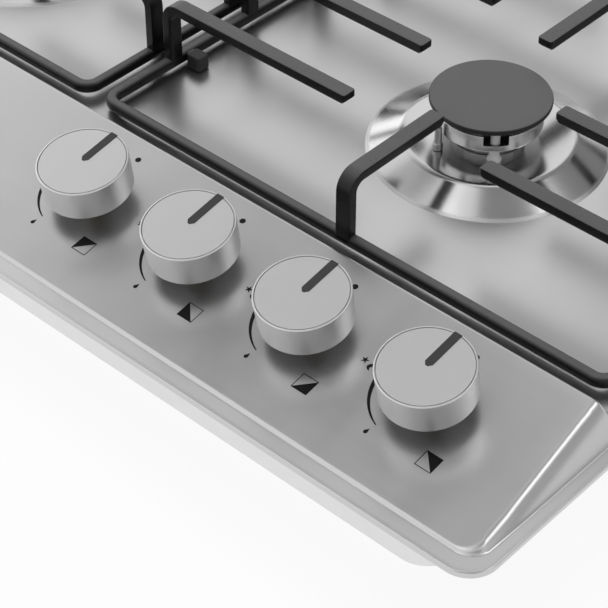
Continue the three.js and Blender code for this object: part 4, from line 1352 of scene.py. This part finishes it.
def seen_in(tree):
    """One where a ray comes from the camera or from a reflection or refraction, else zero."""
    path = tree.nodes.new("ShaderNodeLightPath")
    total = path.outputs["Is Camera Ray"]
    for name in ("Is Glossy Ray", "Is Transmission Ray"):
        either = tree.nodes.new("ShaderNodeMath")
        either.operation = "MAXIMUM"
        tree.links.new(total, either.inputs[0])
        tree.links.new(path.outputs[name], either.inputs[1])
        total = either.outputs[0]
    return total


def studio_world(fill):
    """White to the camera and in reflections, and a soft even fill for dull surfaces."""
    world = bpy.data.worlds.new("Studio")
    world.use_nodes = True
    tree = world.node_tree
    level = tree.nodes.new("ShaderNodeMapRange")
    level.inputs["To Min"].default_value = fill
    level.inputs["To Max"].default_value = 1.0
    tree.links.new(seen_in(tree), level.inputs["Value"])
    tree.links.new(level.outputs[0], tree.nodes["Background"].inputs["Strength"])
    tree.nodes["Background"].inputs["Color"].default_value = (1, 1, 1, 1)
    return world


def around(bearing, elevation, distance):
    """A place round the stage's middle, by bearing and elevation in degrees and distance in metres."""
    flat, up = polar(distance, elevation)
    return Vector((*polar(flat, bearing), up)) + STAGE_MIDDLE


def facing(place):
    """The turn of a lamp or board there that faces the stage's middle with its long side level."""
    return (STAGE_MIDDLE - place).to_track_quat("-Z", "Y")


def stage_piece(name, bm, material):
    """Turns a bmesh drawn in metres into a piece of the stage."""
    mesh = bpy.data.meshes.new(name)
    bm.to_mesh(mesh)
    bm.free()
    mesh.materials.append(material)
    piece = bpy.data.objects.new(name, mesh)
    bpy.context.scene.collection.objects.link(piece)
    return piece


def board(name, place, size, tone):
    """A glowing board that only reflections see, to shade the metal as boards beside a table do."""
    bm = bmesh.new()
    bmesh.ops.create_grid(bm, x_segments=1, y_segments=1, size=0.5)
    bmesh.ops.scale(bm, vec=(size[0], size[1], 1), verts=bm.verts)
    in_place(bm, Matrix.Translation(place) @ facing(place).to_matrix().to_4x4())
    material = bpy.data.materials.new(name)
    material.use_nodes = True
    tree = material.node_tree
    glow = tree.nodes.new("ShaderNodeEmission")
    glow.inputs["Color"].default_value = grey(1.0)
    glow.inputs["Strength"].default_value = tone
    tree.links.new(glow.outputs[0], tree.nodes["Material Output"].inputs["Surface"])
    piece = stage_piece(name, bm, material)
    piece.visible_camera = False
    piece.visible_diffuse = False
    piece.visible_shadow = False
    piece.visible_transmission = False


def lamp(name, place, width, depth, power):
    """A soft light that faces the stage's middle."""
    data = bpy.data.lights.new(name, "AREA")
    data.shape = "RECTANGLE"
    data.size = width
    data.size_y = depth
    data.energy = power
    light = bpy.data.objects.new(name, data)
    light.location = place
    light.rotation_euler = facing(place).to_euler()
    bpy.context.scene.collection.objects.link(light)
    return light


def floor_material():
    """Pale floor that looks white to the camera and keeps the object's shadow."""
    material = bpy.data.materials.new("floor_white")
    material.use_nodes = True
    tree = material.node_tree
    shader = tree.nodes["Principled BSDF"]
    shader.inputs["Base Color"].default_value = (0.9, 0.9, 0.9, 1)
    shader.inputs["Roughness"].default_value = 0.9
    glow = tree.nodes.new("ShaderNodeEmission")
    glow.inputs["Strength"].default_value = 1.0
    mixer = tree.nodes.new("ShaderNodeMixShader")
    factor = tree.nodes.new("ShaderNodeMath")
    factor.operation = "MULTIPLY"
    factor.inputs[1].default_value = FLOOR_GLOW
    tree.links.new(seen_in(tree), factor.inputs[0])
    tree.links.new(factor.outputs[0], mixer.inputs[0])
    tree.links.new(shader.outputs[0], mixer.inputs[1])
    tree.links.new(glow.outputs[0], mixer.inputs[2])
    tree.links.new(mixer.outputs[0], tree.nodes["Material Output"].inputs["Surface"])
    return material


# ------------------------------------------------------------------ panel and start

class HOB_PT_panel(bpy.types.Panel):
    """Lists the hob's values and its steps"""
    bl_label = "Gas Hob"
    bl_idname = "HOB_PT_panel"
    bl_space_type = "VIEW_3D"
    bl_region_type = "UI"
    bl_category = "Gas Hob"

    def draw(self, context):
        for group in (context.scene.hob_sizes, context.scene.hob_finish, context.scene.hob_stage):
            for key in group.__annotations__:
                self.layout.prop(group, key)
        for step in STEPS:
            self.layout.operator(step.bl_idname)


STEPS = (HOB_OT_stage, HOB_OT_top, HOB_OT_box, HOB_OT_supports, HOB_OT_feet, HOB_OT_crowns, HOB_OT_caps,
         HOB_OT_burner_bases, HOB_OT_knobs, HOB_OT_marks, HOB_OT_inside)
GROUPS = (("hob_sizes", HobSizes), ("hob_finish", HobFinish), ("hob_stage", HobStage))


def register():
    for _, group in GROUPS:
        bpy.utils.register_class(group)
    for step in STEPS + (HOB_PT_panel,):
        bpy.utils.register_class(step)
    for name, group in GROUPS:
        setattr(bpy.types.Scene, name, PointerProperty(type=group))


def unregister():
    for name, _ in GROUPS:
        delattr(bpy.types.Scene, name)
    for step in reversed(STEPS + (HOB_PT_panel,)):
        bpy.utils.unregister_class(step)
    for _, group in reversed(GROUPS):
        bpy.utils.unregister_class(group)


def main():
    register()
    for step in STEPS:
        area, name = step.bl_idname.split(".")
        getattr(getattr(bpy.ops, area), name)()
    bpy.context.view_layer.update()


if __name__ == "__main__":
    main()
